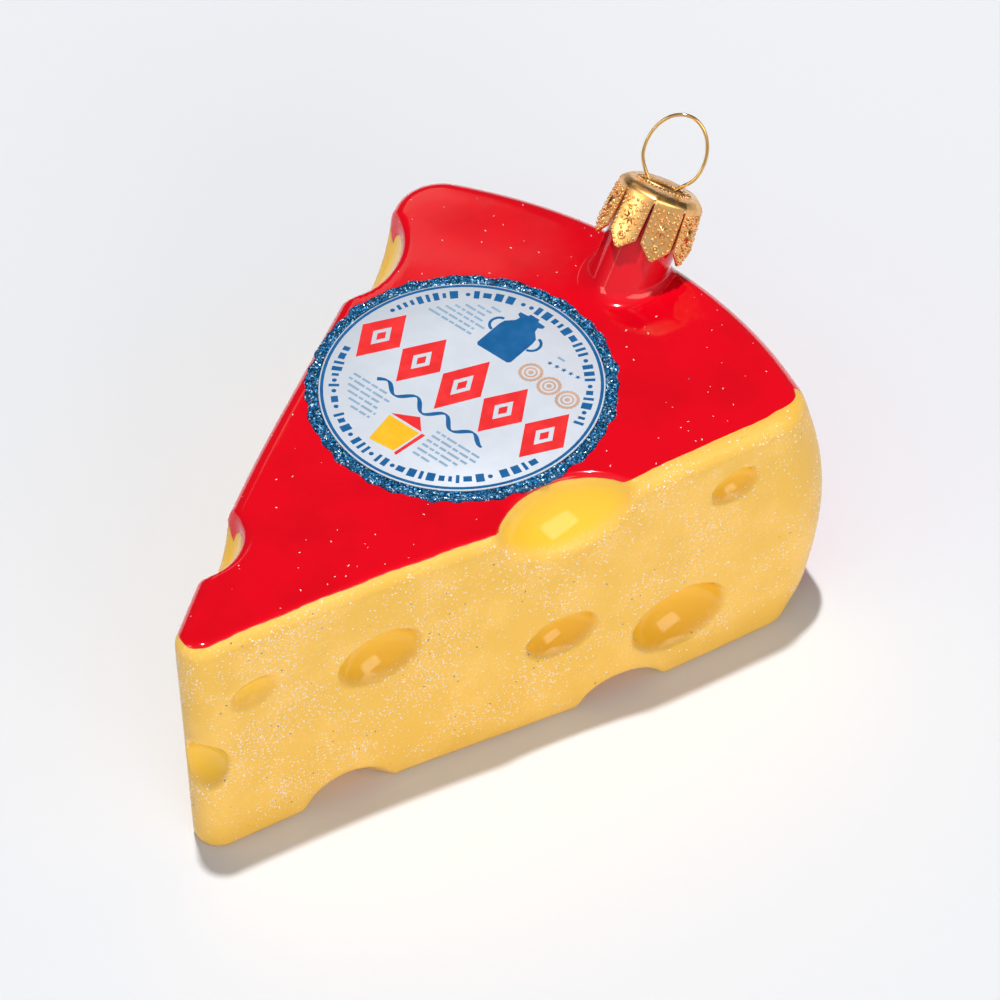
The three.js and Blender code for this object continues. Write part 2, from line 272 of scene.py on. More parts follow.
def tube(path, radius, sides=8, closed=False):
    """A round tube along a path, with flat ends if it is open."""
    path = np.asarray(path, float)
    ahead = np.roll(path, -1, 0) - np.roll(path, 1, 0)
    if not closed:
        ahead[0], ahead[-1] = path[1] - path[0], path[-1] - path[-2]
    ahead /= np.linalg.norm(ahead, axis=1)[:, None]
    across = np.cross(ahead[0], (0.3, -0.5, 0.8))
    points = []
    for place, direction in zip(path, ahead):
        across = across - direction * (across @ direction)
        across /= np.linalg.norm(across)
        side = np.cross(direction, across)
        for turn in full_turn(sides):
            points.append(place + radius * (math.cos(turn) * across + math.sin(turn) * side))
    ends = closing_faces if closed else end_faces
    return points, grid_faces(len(path), sides, True) + ends(len(path), sides)


def smooth_step(low, high, value):
    t = np.clip((np.asarray(value, float) - low) / (high - low), 0, 1)
    return t * t * (3 - 2 * t)


# ---- Node helpers ----
def feed(tree, node, inputs):
    """Links or sets a node's inputs, by name or by index."""
    for key, value in inputs.items():
        target = node.inputs[key]
        if isinstance(value, bpy.types.NodeSocket):
            tree.links.new(value, target)
        else:
            target.default_value = value
    return node


def add_node(tree, kind, inputs=None, **settings):
    node = tree.nodes.new(kind)
    for key, value in settings.items():
        setattr(node, key, value)
    return feed(tree, node, inputs or {})


def maths(tree, operation, first, second=0.0, third=0.0):
    inputs = {0: first, 1: second, 2: third}
    return add_node(tree, "ShaderNodeMath", inputs, operation=operation).outputs[0]


def remap(tree, value, low, high, to_low=0.0, to_high=1.0):
    inputs = {"Value": value, "From Min": low, "From Max": high, "To Min": to_low, "To Max": to_high}
    return add_node(tree, "ShaderNodeMapRange", inputs, interpolation_type="SMOOTHSTEP").outputs[0]


def mix_colour(tree, factor, first, second, blend="MIX"):
    node = add_node(
        tree, "ShaderNodeMix", {0: factor, 6: first, 7: second}, data_type="RGBA", blend_type=blend
    )
    return node.outputs[2]


def attribute_value(tree, name):
    return add_node(tree, "ShaderNodeAttribute", attribute_name=name).outputs["Fac"]


def opaque(values):
    return (*values, 1.0)


def place_of(tree):
    return add_node(tree, "ShaderNodeTexCoord").outputs["Object"]


def noise(tree, place, scale, detail=2.0):
    inputs = {"Vector": place, "Scale": scale, "Detail": detail}
    return add_node(tree, "ShaderNodeTexNoise", inputs).outputs[0]


def new_group(name, inputs, outputs):
    """A shader node group with float or vector inputs and the named outputs."""
    tree = bpy.data.node_groups.new(name, "ShaderNodeTree")
    for label, default in inputs.items():
        kind = "NodeSocketVector" if default is None else "NodeSocketFloat"
        made = tree.interface.new_socket(label, in_out="INPUT", socket_type=kind)
        if default is not None:
            made.default_value = default
    for label in outputs:
        tree.interface.new_socket(label, in_out="OUTPUT", socket_type="NodeSocketFloat")
    entry = tree.nodes.new("NodeGroupInput")
    leave = tree.nodes.new("NodeGroupOutput")
    return tree, entry.outputs, leave


def use_group(tree, group, inputs):
    node = tree.nodes.new("ShaderNodeGroup")
    node.node_tree = group
    return feed(tree, node, inputs).outputs


def ripple_group():
    """Slow waves of blown glass with fine orange peel over them."""
    if "Blown ripple" in bpy.data.node_groups:
        return bpy.data.node_groups["Blown ripple"]
    inputs = {"Place": None, "Wave scale": 60.0, "Peel scale": 900.0, "Peel share": 0.1}
    tree, entry, leave = new_group("Blown ripple", inputs, ["Height"])
    wave = noise(tree, entry["Place"], entry["Wave scale"], 1.0)
    peel = noise(tree, entry["Place"], entry["Peel scale"])
    fine = maths(tree, "MULTIPLY", peel, entry["Peel share"])
    tree.links.new(maths(tree, "ADD", wave, fine), leave.inputs[0])
    return tree


def wear_group():
    """Blotches for stained metal, dust and uneven paint: a coarse and a fine mask."""
    if "Uneven finish" in bpy.data.node_groups:
        return bpy.data.node_groups["Uneven finish"]
    inputs = {"Place": None, "Blotch scale": 300.0, "Grain scale": 4000.0}
    tree, entry, leave = new_group("Uneven finish", inputs, ["Blotch", "Grain"])
    for label, low, high in (("Blotch", 0.38, 0.68), ("Grain", 0.4, 0.7)):
        spread = noise(tree, entry["Place"], entry[label + " scale"], 3.0)
        tree.links.new(remap(tree, spread, low, high), leave.inputs[label])
    return tree


def uneven_finish(tree, blotch, grain):
    """The two masks of the uneven finish, at the given scales."""
    inputs = {"Place": place_of(tree), "Blotch scale": blotch, "Grain scale": grain}
    return use_group(tree, wear_group(), inputs)


def new_material(name, colour_value, roughness, metallic=0.0, **extra):
    """A material with its Principled shader, whose even values stay on the shader's own sockets."""
    material = bpy.data.materials.new(name)
    material.use_nodes = True
    tree = material.node_tree
    shader = next(n for n in tree.nodes if n.type == "BSDF_PRINCIPLED")
    shader.inputs["Base Color"].default_value = opaque(colour_value)
    shader.inputs["Roughness"].default_value = roughness
    shader.inputs["Metallic"].default_value = metallic
    for key, value in extra.items():
        shader.inputs[key.replace("_", " ")].default_value = value
    material.diffuse_color = opaque(colour_value)
    return material, tree, shader


def bump(tree, shader, height, distance, strength=1.0):
    node = add_node(tree, "ShaderNodeBump", {"Height": height, "Distance": distance, "Strength": strength})
    tree.links.new(node.outputs[0], shader.inputs["Normal"])
    return node


# ---- Glass wedge ----
# Eye holes on each cut face: distance from the sharp tip, distance below the top, half length,
# half height and depth in millimetres, and slope in degrees.
RIGHT_HOLES = (
    (12.8, 10.2, 3.4, 2.2, 1.6, -12), (29, 13.2, 5.7, 4, 3.9, -10), (52.5, 21, 4.6, 3, 2.9, -8),
    (68.6, 26.2, 6.3, 4.6, 4, -8), (76.3, 6.8, 3.2, 2.3, 2, -10),
    (53.6, -1, 9.2, 7.2, 5.2, 0), (24, 37, 6.2, 5.2, 4, 0), (60.5, 37, 5.8, 4.2, 3.8, 0),
)
LEFT_HOLES = (
    (21.4, -0.6, 5.2, 6, 2.6, 0), (72.4, -1, 8.2, 7.4, 4, 0), (38, 15, 5, 3.6, 3.4, 8),
    (55, 25, 6, 4.2, 3.8, 6), (14, 22, 3.4, 2.4, 1.7, 10), (78, 20, 3.4, 2.6, 2.1, -6),
    (34, 37, 6, 4.4, 3.6, 0),
)
# Hole at the tip: its middle beside and outside the apex, its distance below the top, and radius.
TIP_HOLE = {"aside": 2.1, "outwards": 1.65, "down": 20.6, "radius": 4.6}
HOLE_STAND_OFF = 0.6
# A scallop on an edge has a rim this many times as soft as that of a hole.
SCALLOP_SOFTNESS = 3.5
# Half and whole waves that the cut faces bow by, in millimetres outwards.
RIGHT_BOW = (0.2, -0.6)
LEFT_BOW = (1.0, 0.3)
CUT_FOOT = (1.2, 1.4)
RIND_FOOT = (5.6, 5.0)
# Neck: its radius, the radius of the soft fillet at its foot, and its lip and bore, in millimetres.
NECK_RADIUS = 4.5
NECK_FILLET = 1.4
NECK_LIP = ((2, 4.5), (4, 4.45), (6.5, 4.4), (6.8, 4.25), (6.9, 4.0), (6.8, 3.3), (-4, 3.3), (-4.2, 0.4))
NECK_ZERO = (87.15, 39.1)
# The neck's foot is found by looking down from this height, and sinks this far into the glass.
NECK_FROM = 20
NECK_SINK = 0.03
# The hidden inner end of the neck's shell: its height and radius.
NECK_CORE = (-12, 0.4)
LID_MIDDLE = 0.6
# Rings of points on the underside and on the top.
LID_RINGS = (14, 34)
# The red lacquer begins this far in from the right face, at its front and rear, and from the left.
RED_EDGE = (1.05, 2.2, -0.3)
# A run of red lacquer down the tip: its half width and length in mm.
TIP_DRIP = (1.3, 0.25)
# On the underside the red begins this far in, and round the corners at this share of the turn.
RED_UNDER = 3.0
RED_CORNER = 0.92
# How deep in a hole the red ends, on the left face and on the right.
RED_IN_HOLES = (0.95, 0.35)
# A distance well inside the red.
ALL_RED = 20.0


def apex(wedge):
    """Distance from the point where the cut faces would meet to the rounded tip."""
    return wedge.tip_radius / math.sin(wedge.spread / 2) - wedge.tip_radius


def tip_place(wedge):
    """Where the cut faces would meet, in the frame."""
    return np.array([0, BODY_LOW.y - apex(wedge), 0])


def arc_run(wedge, centre, radius, start, end, rinds):
    """Outline points along an arc: centre, radius, direction, rind share and bow."""
    count = max(4, round(abs(end - start) * radius / wedge.mesh_step))
    t = np.linspace(0, 1, count + 1)
    rind = rinds[0] + (rinds[1] - rinds[0]) * t
    still = np.zeros_like(t)
    return np.c_[
        still + centre[0], still + centre[1], still + radius, start + (end - start) * t, rind, still
    ]


def face_run(wedge, tip, corner, direction, bow):
    """Outline points along a cut face, between the arcs at its ends."""
    count = round(np.linalg.norm(corner - tip) / wedge.mesh_step)
    t = np.arange(1, count) / count
    centre = tip + (corner - tip) * t[:, None]
    radius = wedge.tip_radius + (wedge.corner_radius - wedge.tip_radius) * t
    outwards = (bow[0] * np.sin(math.pi * t) + bow[1] * np.sin(2 * math.pi * t)) * MM
    still = np.zeros_like(t)
    return np.c_[centre, radius, still + direction, still, outwards]


def corner_centre(wedge, rear):
    half = wedge.spread / 2
    along = np.array([math.sin(half), math.cos(half)])
    start = np.array([-math.cos(half), math.sin(half)]) * wedge.corner_radius
    away = start - rear
    middle = away @ along
    reach = wedge.rear_radius - wedge.corner_radius
    return start + along * (-middle + math.sqrt(middle**2 - away @ away + reach**2))


def plan_outline(wedge):
    half = wedge.spread / 2
    rear = np.array([0, wedge.side - wedge.rear_radius])
    tip = np.array([0, wedge.tip_radius / math.sin(half)])
    right = corner_centre(wedge, rear)
    left = right * (-1, 1)
    turn = math.atan2(right[1] - rear[1], right[0] - rear[0])
    low, high = -half, math.pi + half
    return np.concatenate([
        arc_run(wedge, tip, wedge.tip_radius, high - 2 * math.pi, low, (0, 0)),
        face_run(wedge, tip, right, low, RIGHT_BOW),
        arc_run(wedge, right, wedge.corner_radius, low, turn, (0, 1)),
        arc_run(wedge, rear, wedge.rear_radius, turn, math.pi - turn, (1, 1))[1:-1],
        arc_run(wedge, left, wedge.corner_radius, math.pi - turn, high, (1, 0)),
        face_run(wedge, tip, left, high, LEFT_BOW)[::-1],
    ])


def rounded_inset(depth, inwards, height):
    t = np.clip(depth / height, 0, 1)
    return inwards * (1 - np.sqrt(1 - t * t))


def inset_at(wedge, z, rind):
    """How far the outline is drawn in at a height."""
    above = rounded_inset(z - (wedge.thickness - wedge.top_round), wedge.top_round, wedge.top_round)
    cut = above + rounded_inset(CUT_FOOT[1] * MM - z, CUT_FOOT[0] * MM, CUT_FOOT[1] * MM)
    swell = wedge.bulge * math.sin(math.pi * z / wedge.thickness)
    rear = above + rounded_inset(RIND_FOOT[1] * MM - z, RIND_FOOT[0] * MM, RIND_FOOT[1] * MM) - swell
    blend = smooth_step(0, 1, rind)
    return cut * (1 - blend) + rear * blend


def wall_heights(wedge):
    """Heights of the wall's rings, close together in the roundings."""
    foot = RIND_FOOT[1] * MM * (1 - np.cos(np.linspace(0, math.pi / 2, 15)))
    top = wedge.thickness - wedge.top_round
    rise = np.linspace(foot[-1], top, round((top - foot[-1]) / wedge.mesh_step))[1:]
    turn = top + wedge.top_round * np.sin(np.linspace(0, math.pi / 2, 12))[1:]
    return np.concatenate([foot, rise, turn])


def lid_rings(ring, middle, count, up):
    """Rings that shrink from the edge of a lid to a point short of its middle."""
    shares = np.linspace(0, 1, count + 1)[1:-1]
    rings = [ring + (middle - ring) * s for s in shares]
    return rings if up else rings[::-1]


def hole_reach(points, centre, axes, semi, direction, rim):
    """How far each point moves along the direction to lie on the hole's bowl."""
    away = (points - centre) @ axes.T / semi
    ray = (axes @ direction) / semi
    a = ray @ ray
    b = away @ ray
    inside = b * b - a * ((away**2).sum(1) - 1)
    reach = (np.sign(inside) * np.sqrt(np.abs(inside)) - b) / a
    t = np.clip(0.5 + 0.5 * reach / rim, 0, 1)
    return reach * t + rim * t * (1 - t)


def face_hole(wedge, hole, left):
    """Centre, axes, half sizes, inward direction and rim of a hole on a cut face."""
    along, down, long, tall, deep, tilt = hole
    side = -1 if left else 1
    half = wedge.spread / 2
    outwards = np.array([side * math.cos(half), -math.sin(half), 0])
    ahead = np.array([side * math.sin(half), math.cos(half), 0])
    slope = math.radians(-tilt)
    axes = np.array([
        ahead * math.cos(slope) + np.array([0, 0, math.sin(slope)]),
        outwards,
        -ahead * math.sin(slope) + np.array([0, 0, math.cos(slope)]),
    ])
    stand_off = deep * HOLE_STAND_OFF
    opening = math.sqrt(1 - (stand_off / (deep + stand_off)) ** 2)
    semi = np.array([long / opening, deep + stand_off, tall / opening]) * MM
    height = wedge.thickness - down * MM
    centre = ahead * along * MM + outwards * stand_off * MM + np.array([0, 0, height])
    lift = -1 if down < 0 else 1 if height < 0 else 0
    direction = -outwards + np.array([0, 0, lift])
    rim = wedge.rim * (SCALLOP_SOFTNESS if lift else 1)
    return centre, axes, semi, direction / np.linalg.norm(direction), rim


def tip_hole(wedge):
    ahead = apex(wedge) - TIP_HOLE["outwards"] * MM
    centre = np.array([TIP_HOLE["aside"] * MM, ahead, wedge.thickness - TIP_HOLE["down"] * MM])
    inner = np.array([0, wedge.tip_radius / math.sin(wedge.spread / 2), centre[2]])
    direction = (inner - centre) / np.linalg.norm(inner - centre)
    return centre, np.eye(3), np.full(3, TIP_HOLE["radius"] * MM), direction, wedge.rim


def waves(points, size):
    """Slow smooth waves, between about -1 and 1, that vary over about the given distance."""
    x, y, z = (points / size * 2 * math.pi).T
    return (
        np.sin(0.9 * x + 0.4 * y + 1.1 * np.sin(0.5 * y + 0.7 * z))
        + np.sin(0.7 * y - 0.6 * z + 2.1 + 0.9 * np.sin(0.6 * x))
        + np.sin(0.5 * x - 0.8 * y + 0.8 * z + 4.2)
    ) / 3


def wedge_mesh(wedge):
    """Points of the wedge before its holes, outward directions, faces, and distances into the red."""
    outline = plan_outline(wedge)
    around = len(outline)
    out = np.c_[np.cos(outline[:, 3]), np.sin(outline[:, 3]), np.zeros(around)]
    heights = wall_heights(wedge)
    walls = []
    for z in heights:
        reach = outline[:, 2] + outline[:, 5] - inset_at(wedge, z, outline[:, 4])
        ring = np.c_[outline[:, :2], np.full(around, z)] + out * reach[:, None]
        walls.append(ring)
    middle_low = np.array([0, wedge.side * LID_MIDDLE, 0])
    middle_high = middle_low + (0, 0, wedge.thickness)
    below = lid_rings(walls[0], middle_low, LID_RINGS[0], False)
    above = lid_rings(walls[-1], middle_high, LID_RINGS[1], True)
    rings = below + walls + above
    points = np.concatenate(rings + [middle_low[None], middle_high[None]])
    faces = grid_faces(len(rings), around, True)
    faces += lid_faces(len(rings), around, len(points) - 2, len(points) - 1)
    facing = np.concatenate([
        np.tile((0, 0, -1.0), (len(below) * around, 1)), np.tile(out, (len(walls), 1)),
        np.tile((0, 0, 1.0), (len(above) * around, 1)), [[0, 0, -1], [0, 0, 1]],
    ])
    red = red_distance(wedge, outline, below, walls, above)
    return points, facing, faces, red


def red_distance(wedge, outline, below, walls, above):
    """Distance of each point into the red lacquer, in millimetres, negative on the yellow."""
    start = walls[0][:, :2] / MM
    tip = start[:, 1].argmin()
    from_tip = np.linalg.norm(start - start[tip], axis=1) * np.sign(start[:, 0] + 1e-9)
    waver = 0.05 * np.sin(from_tip * 0.7) + 0.02 * np.sin(from_tip * 2.9 + 1)
    rind = outline[:, 4]
    begin = RED_EDGE[0] + (RED_EDGE[1] - RED_EDGE[0]) * smooth_step(44, 66, np.abs(from_tip))
    begin -= 1.4 * smooth_step(0.2, 0.8, rind)
    begin += (RED_EDGE[2] - begin) * smooth_step(0, -4, from_tip)
    drip = TIP_DRIP[1] * np.exp(-((from_tip / TIP_DRIP[0]) ** 2))
    upper = waver + drip - begin
    corner = (rind - RED_CORNER) * wedge.corner_radius / MM
    round_high = wedge.top_round / MM
    values = []
    for ring in below:
        inside = np.linalg.norm(ring - walls[0], axis=1) / MM
        values.append(np.maximum(inside - RED_UNDER, corner))
    for ring in walls:
        rise = ring[0, 2] / MM - wedge.thickness / MM + round_high
        inset = rise if rise < 0 else rounded_inset(rise, round_high, round_high)
        values.append(np.maximum(upper + inset, corner))
    for ring in above:
        inside = np.linalg.norm(ring - walls[-1], axis=1) / MM
        values.append(np.maximum(upper + round_high + inside, corner))
    return np.concatenate(values + [np.full(2, ALL_RED)])


def all_holes(wedge):
    holes = [face_hole(wedge, hole, False) for hole in RIGHT_HOLES]
    holes += [face_hole(wedge, hole, True) for hole in LEFT_HOLES]
    return holes + [tip_hole(wedge)]


def neck_axes(wedge, turn=0.0):
    """Directions across, across and along the neck, and its zero, in the frame."""
    lean = wedge.neck_lean
    along = np.array([0, math.cos(lean), math.sin(lean)])
    level = np.array([0, math.sin(lean), -math.cos(lean)])
    aside = np.array([1.0, 0, 0])
    first = aside * math.cos(turn) + level * math.sin(turn)
    second = level * math.cos(turn) - aside * math.sin(turn)
    zero = tip_place(wedge) + np.array([0, NECK_ZERO[0], NECK_ZERO[1]]) * MM
    return first, second, along, zero


def neck_mesh(wedge, glass, sides=128, steps=18):
    """The neck as one closed shell: a fillet that runs out on the glass, a lip and a bore."""
    first, second, along, zero = neck_axes(wedge)
    turns = full_turn(sides)
    around = np.cos(turns)[:, None] * first + np.sin(turns)[:, None] * second
    rows = []
    for bend in np.linspace(0, math.pi / 2, steps):
        away = NECK_FILLET * (1 - math.sin(bend))
        rise = NECK_FILLET * (1 - math.cos(bend)) - NECK_SINK * (1 - bend)
        row = []
        for direction in around:
            above = zero + (direction * (NECK_RADIUS + away) + along * NECK_FROM) * MM
            foot = glass.ray_cast(Vector(above), Vector(-along))[0]
            row.append(np.array(foot) + along * rise * MM)
        rows.append(row)
    lip = [
        [zero + (along * height + direction * radius) * MM for direction in around]
        for height, radius in (NECK_CORE, *NECK_LIP)
    ]
    rows = lip[:1] + rows + lip[1:]
    points = [p for row in rows for p in row]
    return np.array(points), grid_faces(len(rows), sides, True) + end_faces(len(rows), sides)


def lacquer_material(colours):
    """Yellow satin lacquer with deeper glossy holes, painted shade on their downward-facing walls, and
    glossy red lacquer over its upper edge.
    """
    material, tree, shader = new_material(
        "Lacquered glass", colours.cheese, 0.3, Coat_Weight=0.6, Coat_Roughness=0.05, Coat_IOR=1.33,
        Specular_IOR_Level=0.25,
    )
    place = place_of(tree)
    ripple = use_group(tree, ripple_group(), {
        "Place": place, "Wave scale": 90.0, "Peel scale": 700.0, "Peel share": 0.05,
    })
    uneven = uneven_finish(tree, 130.0, 2600.0)
    jag = maths(tree, "MULTIPLY_ADD", noise(tree, place, 420.0), 0.14, -0.07)
    side = maths(tree, "ADD", attribute_value(tree, "red_side"), jag)
    red_mask = remap(tree, side, -0.04, 0.04)
    hole_mask = remap(tree, attribute_value(tree, "hole_depth"), 0.25, 1.5)
    pale = tuple(min(1.0, c * 1.05 + 0.02) for c in colours.cheese)
    yellow = mix_colour(tree, uneven["Blotch"], opaque(colours.cheese), opaque(pale))
    frost = remap(tree, noise(tree, place, 3400.0, 1.0), 0.58, 0.7)
    frosted = maths(tree, "MULTIPLY", frost, uneven["Blotch"])
    yellow = mix_colour(tree, maths(tree, "MULTIPLY", frosted, 0.4), yellow, (1.0, 0.82, 0.58, 1.0))
    yellow = mix_colour(tree, hole_mask, yellow, opaque(colours.hollow))
    # Painted shade: darker ochre where the walls of a hole face downwards.
    yellow = mix_colour(tree, attribute_value(tree, "overhang_shade"), yellow, opaque(colours.painted_hole_shade))
    deep_red = tuple(c * 0.9 for c in colours.wax)
    red = mix_colour(tree, uneven["Blotch"], opaque(colours.wax), opaque(deep_red))
    tree.links.new(mix_colour(tree, red_mask, yellow, red), shader.inputs["Base Color"])
    glossy = maths(tree, "MAXIMUM", red_mask, hole_mask)
    satin = maths(tree, "MULTIPLY_ADD", uneven["Grain"], 0.1, 0.36)
    rough = add_node(tree, "ShaderNodeMix", {0: glossy, 2: satin, 3: 0.09}, data_type="FLOAT").outputs[0]
    tree.links.new(rough, shader.inputs["Roughness"])
    tree.links.new(remap(tree, glossy, 0.0, 1.0, 0.1, 0.9), shader.inputs["Coat Weight"])
    grain = maths(tree, "MULTIPLY", uneven["Grain"], maths(tree, "SUBTRACT", 1.0, glossy))
    height = maths(tree, "ADD", ripple["Height"], maths(tree, "MULTIPLY", grain, 0.12))
    height = maths(tree, "ADD", height, maths(tree, "MULTIPLY", remap(tree, side, -0.15, 0.15), 0.7))
    bump(tree, shader, height, 0.12 * MM)
    return material


class ORNAMENT_OT_glass(bpy.types.Operator):
    """Build the lacquered glass wedge with its holes and neck"""

    bl_idname = "ornament.glass"
    bl_label = "Glass wedge"

    def execute(self, context):
        scene = context.scene
        wedge = scene.ornament_wedge
        points, facing, faces, red = wedge_mesh(wedge)
        depth = np.zeros(len(points))
        shift = np.zeros_like(points)
        for centre, axes, semi, direction, rim in all_holes(wedge):
            reach = hole_reach(points, centre, axes, semi, direction, rim)
            shift += reach[:, None] * direction
            depth += reach if rim == wedge.rim else reach / 2
        # The label stays flat: the ripple fades out under it.
        label_middle = np.array(LABEL_MIDDLE) - tip_place(wedge)
        from_label = np.linalg.norm((points - label_middle)[:, :2], axis=1)
        radius = RING_HIGH.x - label_middle[0]
        free = np.where(facing[:, 2] > 0.5, smooth_step(radius, radius + 5 * MM, from_label), 1.0)
        swell = wedge.ripple * waves(points, 22 * MM) * free
        body = points + shift + facing * swell[:, None] + tip_place(wedge)
        glass = BVHTree.FromPolygons([Vector(p) for p in body], faces)
        neck_points, neck_faces = neck_mesh(wedge, glass)
        parts = Parts()
        parts.add(body, faces)
        parts.add(neck_points, neck_faces)
        piece = parts.piece("glass_wedge")
        red = np.minimum(red, np.where(points[:, 0] < 0, *RED_IN_HOLES) - depth / MM)
        add_attribute(piece, "red_side", np.concatenate([red, np.full(len(neck_points), ALL_RED)]))
        add_attribute(piece, "hole_depth", np.concatenate([depth / MM, np.zeros(len(neck_points))]))
        # Painted shade: how far each point inside a hole faces downwards, which darkens its colour to ochre.
        normals = np.array([v.normal.z for v in piece.data.vertices])
        overhang_shade = smooth_step(0.0, 0.75, -normals)
        overhang_shade[: len(points)] *= smooth_step(0.15, 1.2, depth / MM)
        overhang_shade[len(points):] = 0
        add_attribute(piece, "overhang_shade", overhang_shade)
        piece.data.materials.append(lacquer_material(scene.ornament_colours))
        settle(piece, "lacquered_glass", "glass_body")
        return {"FINISHED"}


# ---- Glitter and beads by Geometry Nodes ----
def new_nodes(name, **inputs):
    """A geometry node tree and its inputs: geometry, the given kinds by name, and a material."""
    tree = bpy.data.node_groups.new(name, "GeometryNodeTree")
    kinds = {"Geometry": "Geometry", **inputs, "Material": "Material"}
    for label, kind in kinds.items():
        label = label.replace("_", " ")
        tree.interface.new_socket(label, in_out="INPUT", socket_type="NodeSocket" + kind)
    tree.interface.new_socket("Geometry", in_out="OUTPUT", socket_type="NodeSocketGeometry")
    return tree, tree.nodes.new("NodeGroupInput").outputs


def end_nodes(tree, entry, instances):
    """Makes the instances real, gives them the material and ends the tree."""
    real = add_node(tree, "GeometryNodeRealizeInstances", {"Geometry": instances})
    inputs = {"Geometry": real.outputs[0], "Material": entry["Material"]}
    painted = add_node(tree, "GeometryNodeSetMaterial", inputs)
    tree.links.new(painted.outputs[0], tree.nodes.new("NodeGroupOutput").inputs[0])
    return tree


def chance(tree, low, high, seed):
    """A random number for each point."""
    inputs = {2: low, 3: high, "Seed": seed}
    return add_node(tree, "FunctionNodeRandomValue", inputs, data_type="FLOAT").outputs[1]


def scatter_tree(name):
    """Strews flat flakes over a surface, with a random tint for each."""
    tree, entry = new_nodes(
        name, Density="Float", Flake_radius="Float", Width="Float", Flatness="Float",
        Smallest="Float", Tilt="Float", Seed="Int",
    )
    where = add_node(tree, "GeometryNodeInputNamedAttribute", {"Name": "strewn"}, data_type="FLOAT")
    density = maths(tree, "MULTIPLY", entry["Density"], where.outputs[0])
    strewn = add_node(
        tree, "GeometryNodeDistributePointsOnFaces",
        {"Mesh": entry["Geometry"], "Density": density, "Seed": entry["Seed"]},
    )
    flake = add_node(
        tree, "GeometryNodeMeshUVSphere", {"Segments": 5, "Rings": 2, "Radius": entry["Flake radius"]}
    )
    flat = add_node(tree, "ShaderNodeCombineXYZ", {0: 1.0, 1: entry["Width"], 2: entry["Flatness"]})
    squashed = add_node(
        tree, "GeometryNodeTransform", {"Geometry": flake.outputs["Mesh"], "Scale": flat.outputs[0]}
    )
    lean = maths(tree, "MULTIPLY", entry["Tilt"], -1.0)
    low = add_node(tree, "ShaderNodeCombineXYZ", {0: lean, 1: lean, 2: -math.pi})
    high = add_node(tree, "ShaderNodeCombineXYZ", {0: entry["Tilt"], 1: entry["Tilt"], 2: math.pi})
    spin = add_node(
        tree, "FunctionNodeRandomValue",
        {0: low.outputs[0], 1: high.outputs[0], "Seed": entry["Seed"]}, data_type="FLOAT_VECTOR",
    )
    euler = add_node(tree, "FunctionNodeEulerToRotation", {0: spin.outputs[0]})
    turned = add_node(
        tree, "FunctionNodeRotateRotation",
        {0: strewn.outputs["Rotation"], 1: euler.outputs[0]}, rotation_space="LOCAL",
    )
    placed = add_node(tree, "GeometryNodeInstanceOnPoints", {
        "Points": strewn.outputs["Points"], "Instance": squashed.outputs[0],
        "Rotation": turned.outputs[0], "Scale": chance(tree, entry["Smallest"], 1.0, 7),
    })
    marked = add_node(
        tree, "GeometryNodeStoreNamedAttribute",
        {"Geometry": placed.outputs[0], "Name": "tint", "Value": chance(tree, 0.0, 1.0, 11)},
        data_type="FLOAT", domain="INSTANCE",
    )
    return end_nodes(tree, entry, marked.outputs[0])


def run_nodes(piece, tree, values):
    """Runs a node tree on a piece with its inputs set, and keeps the result as a plain mesh."""
    modifier = piece.modifiers.new(tree.name, "NODES")
    modifier.node_group = tree
    for item in tree.interface.items_tree:
        if item.item_type == "SOCKET" and item.in_out == "INPUT" and item.name in values:
            modifier[item.identifier] = values[item.name]
    piece.update_tag()
    mesh = baked(piece).data
    mesh.materials.clear()
    mesh.materials.append(values["Material"])
    mesh.polygons.foreach_set("material_index", np.zeros(len(mesh.polygons), np.int32))


def tint_steps(tree, shader, first, *others):
    """Colours a flake by its tint: the first colour, then others from given places up."""
    ramp = add_node(tree, "ShaderNodeValToRGB", {"Fac": attribute_value(tree, "tint")})
    ramp.color_ramp.interpolation = "CONSTANT"
    stops = ramp.color_ramp.elements
    stops.remove(stops[1])
    stops[0].color = opaque(first)
    for place, tone in others:
        stops.new(place).color = opaque(tone)
    tree.links.new(ramp.outputs[0], shader.inputs["Base Color"])


def speck_material():
    """Mostly pale specks, a few of them pink and fewer dark."""
    material, tree, shader = new_material("Pale specks", (1.0, 0.93, 0.86), 0.3, Coat_Weight=0.3)
    tint_steps(
        tree, shader, (0.12, 0.13, 0.2), (0.012, (1.0, 0.86, 0.72)), (0.4, (1.0, 0.93, 0.86)),
        (0.75, (1.0, 0.78, 0.74)), (0.85, (1.0, 0.97, 0.94)),
    )
    return material


def glitter_material(colours):
    """Flakes from navy through the ring's own blue to nearly white."""
    material, tree, shader = new_material("Blue glitter", colours.glitter, 0.22, 0.15)
    navy = tuple(c * 0.3 for c in colours.glitter)
    pale = tuple(min(1.0, c * 2.3 + 0.02) for c in colours.glitter)
    tint_steps(tree, shader, navy, (0.22, colours.glitter), (0.66, pale), (0.9, (0.62, 0.84, 0.95)))
    uneven = uneven_finish(tree, 900.0, 5000.0)
    tree.links.new(remap(tree, uneven["Grain"], 0.0, 1.0, 0.15, 0.4), shader.inputs["Roughness"])
    return material


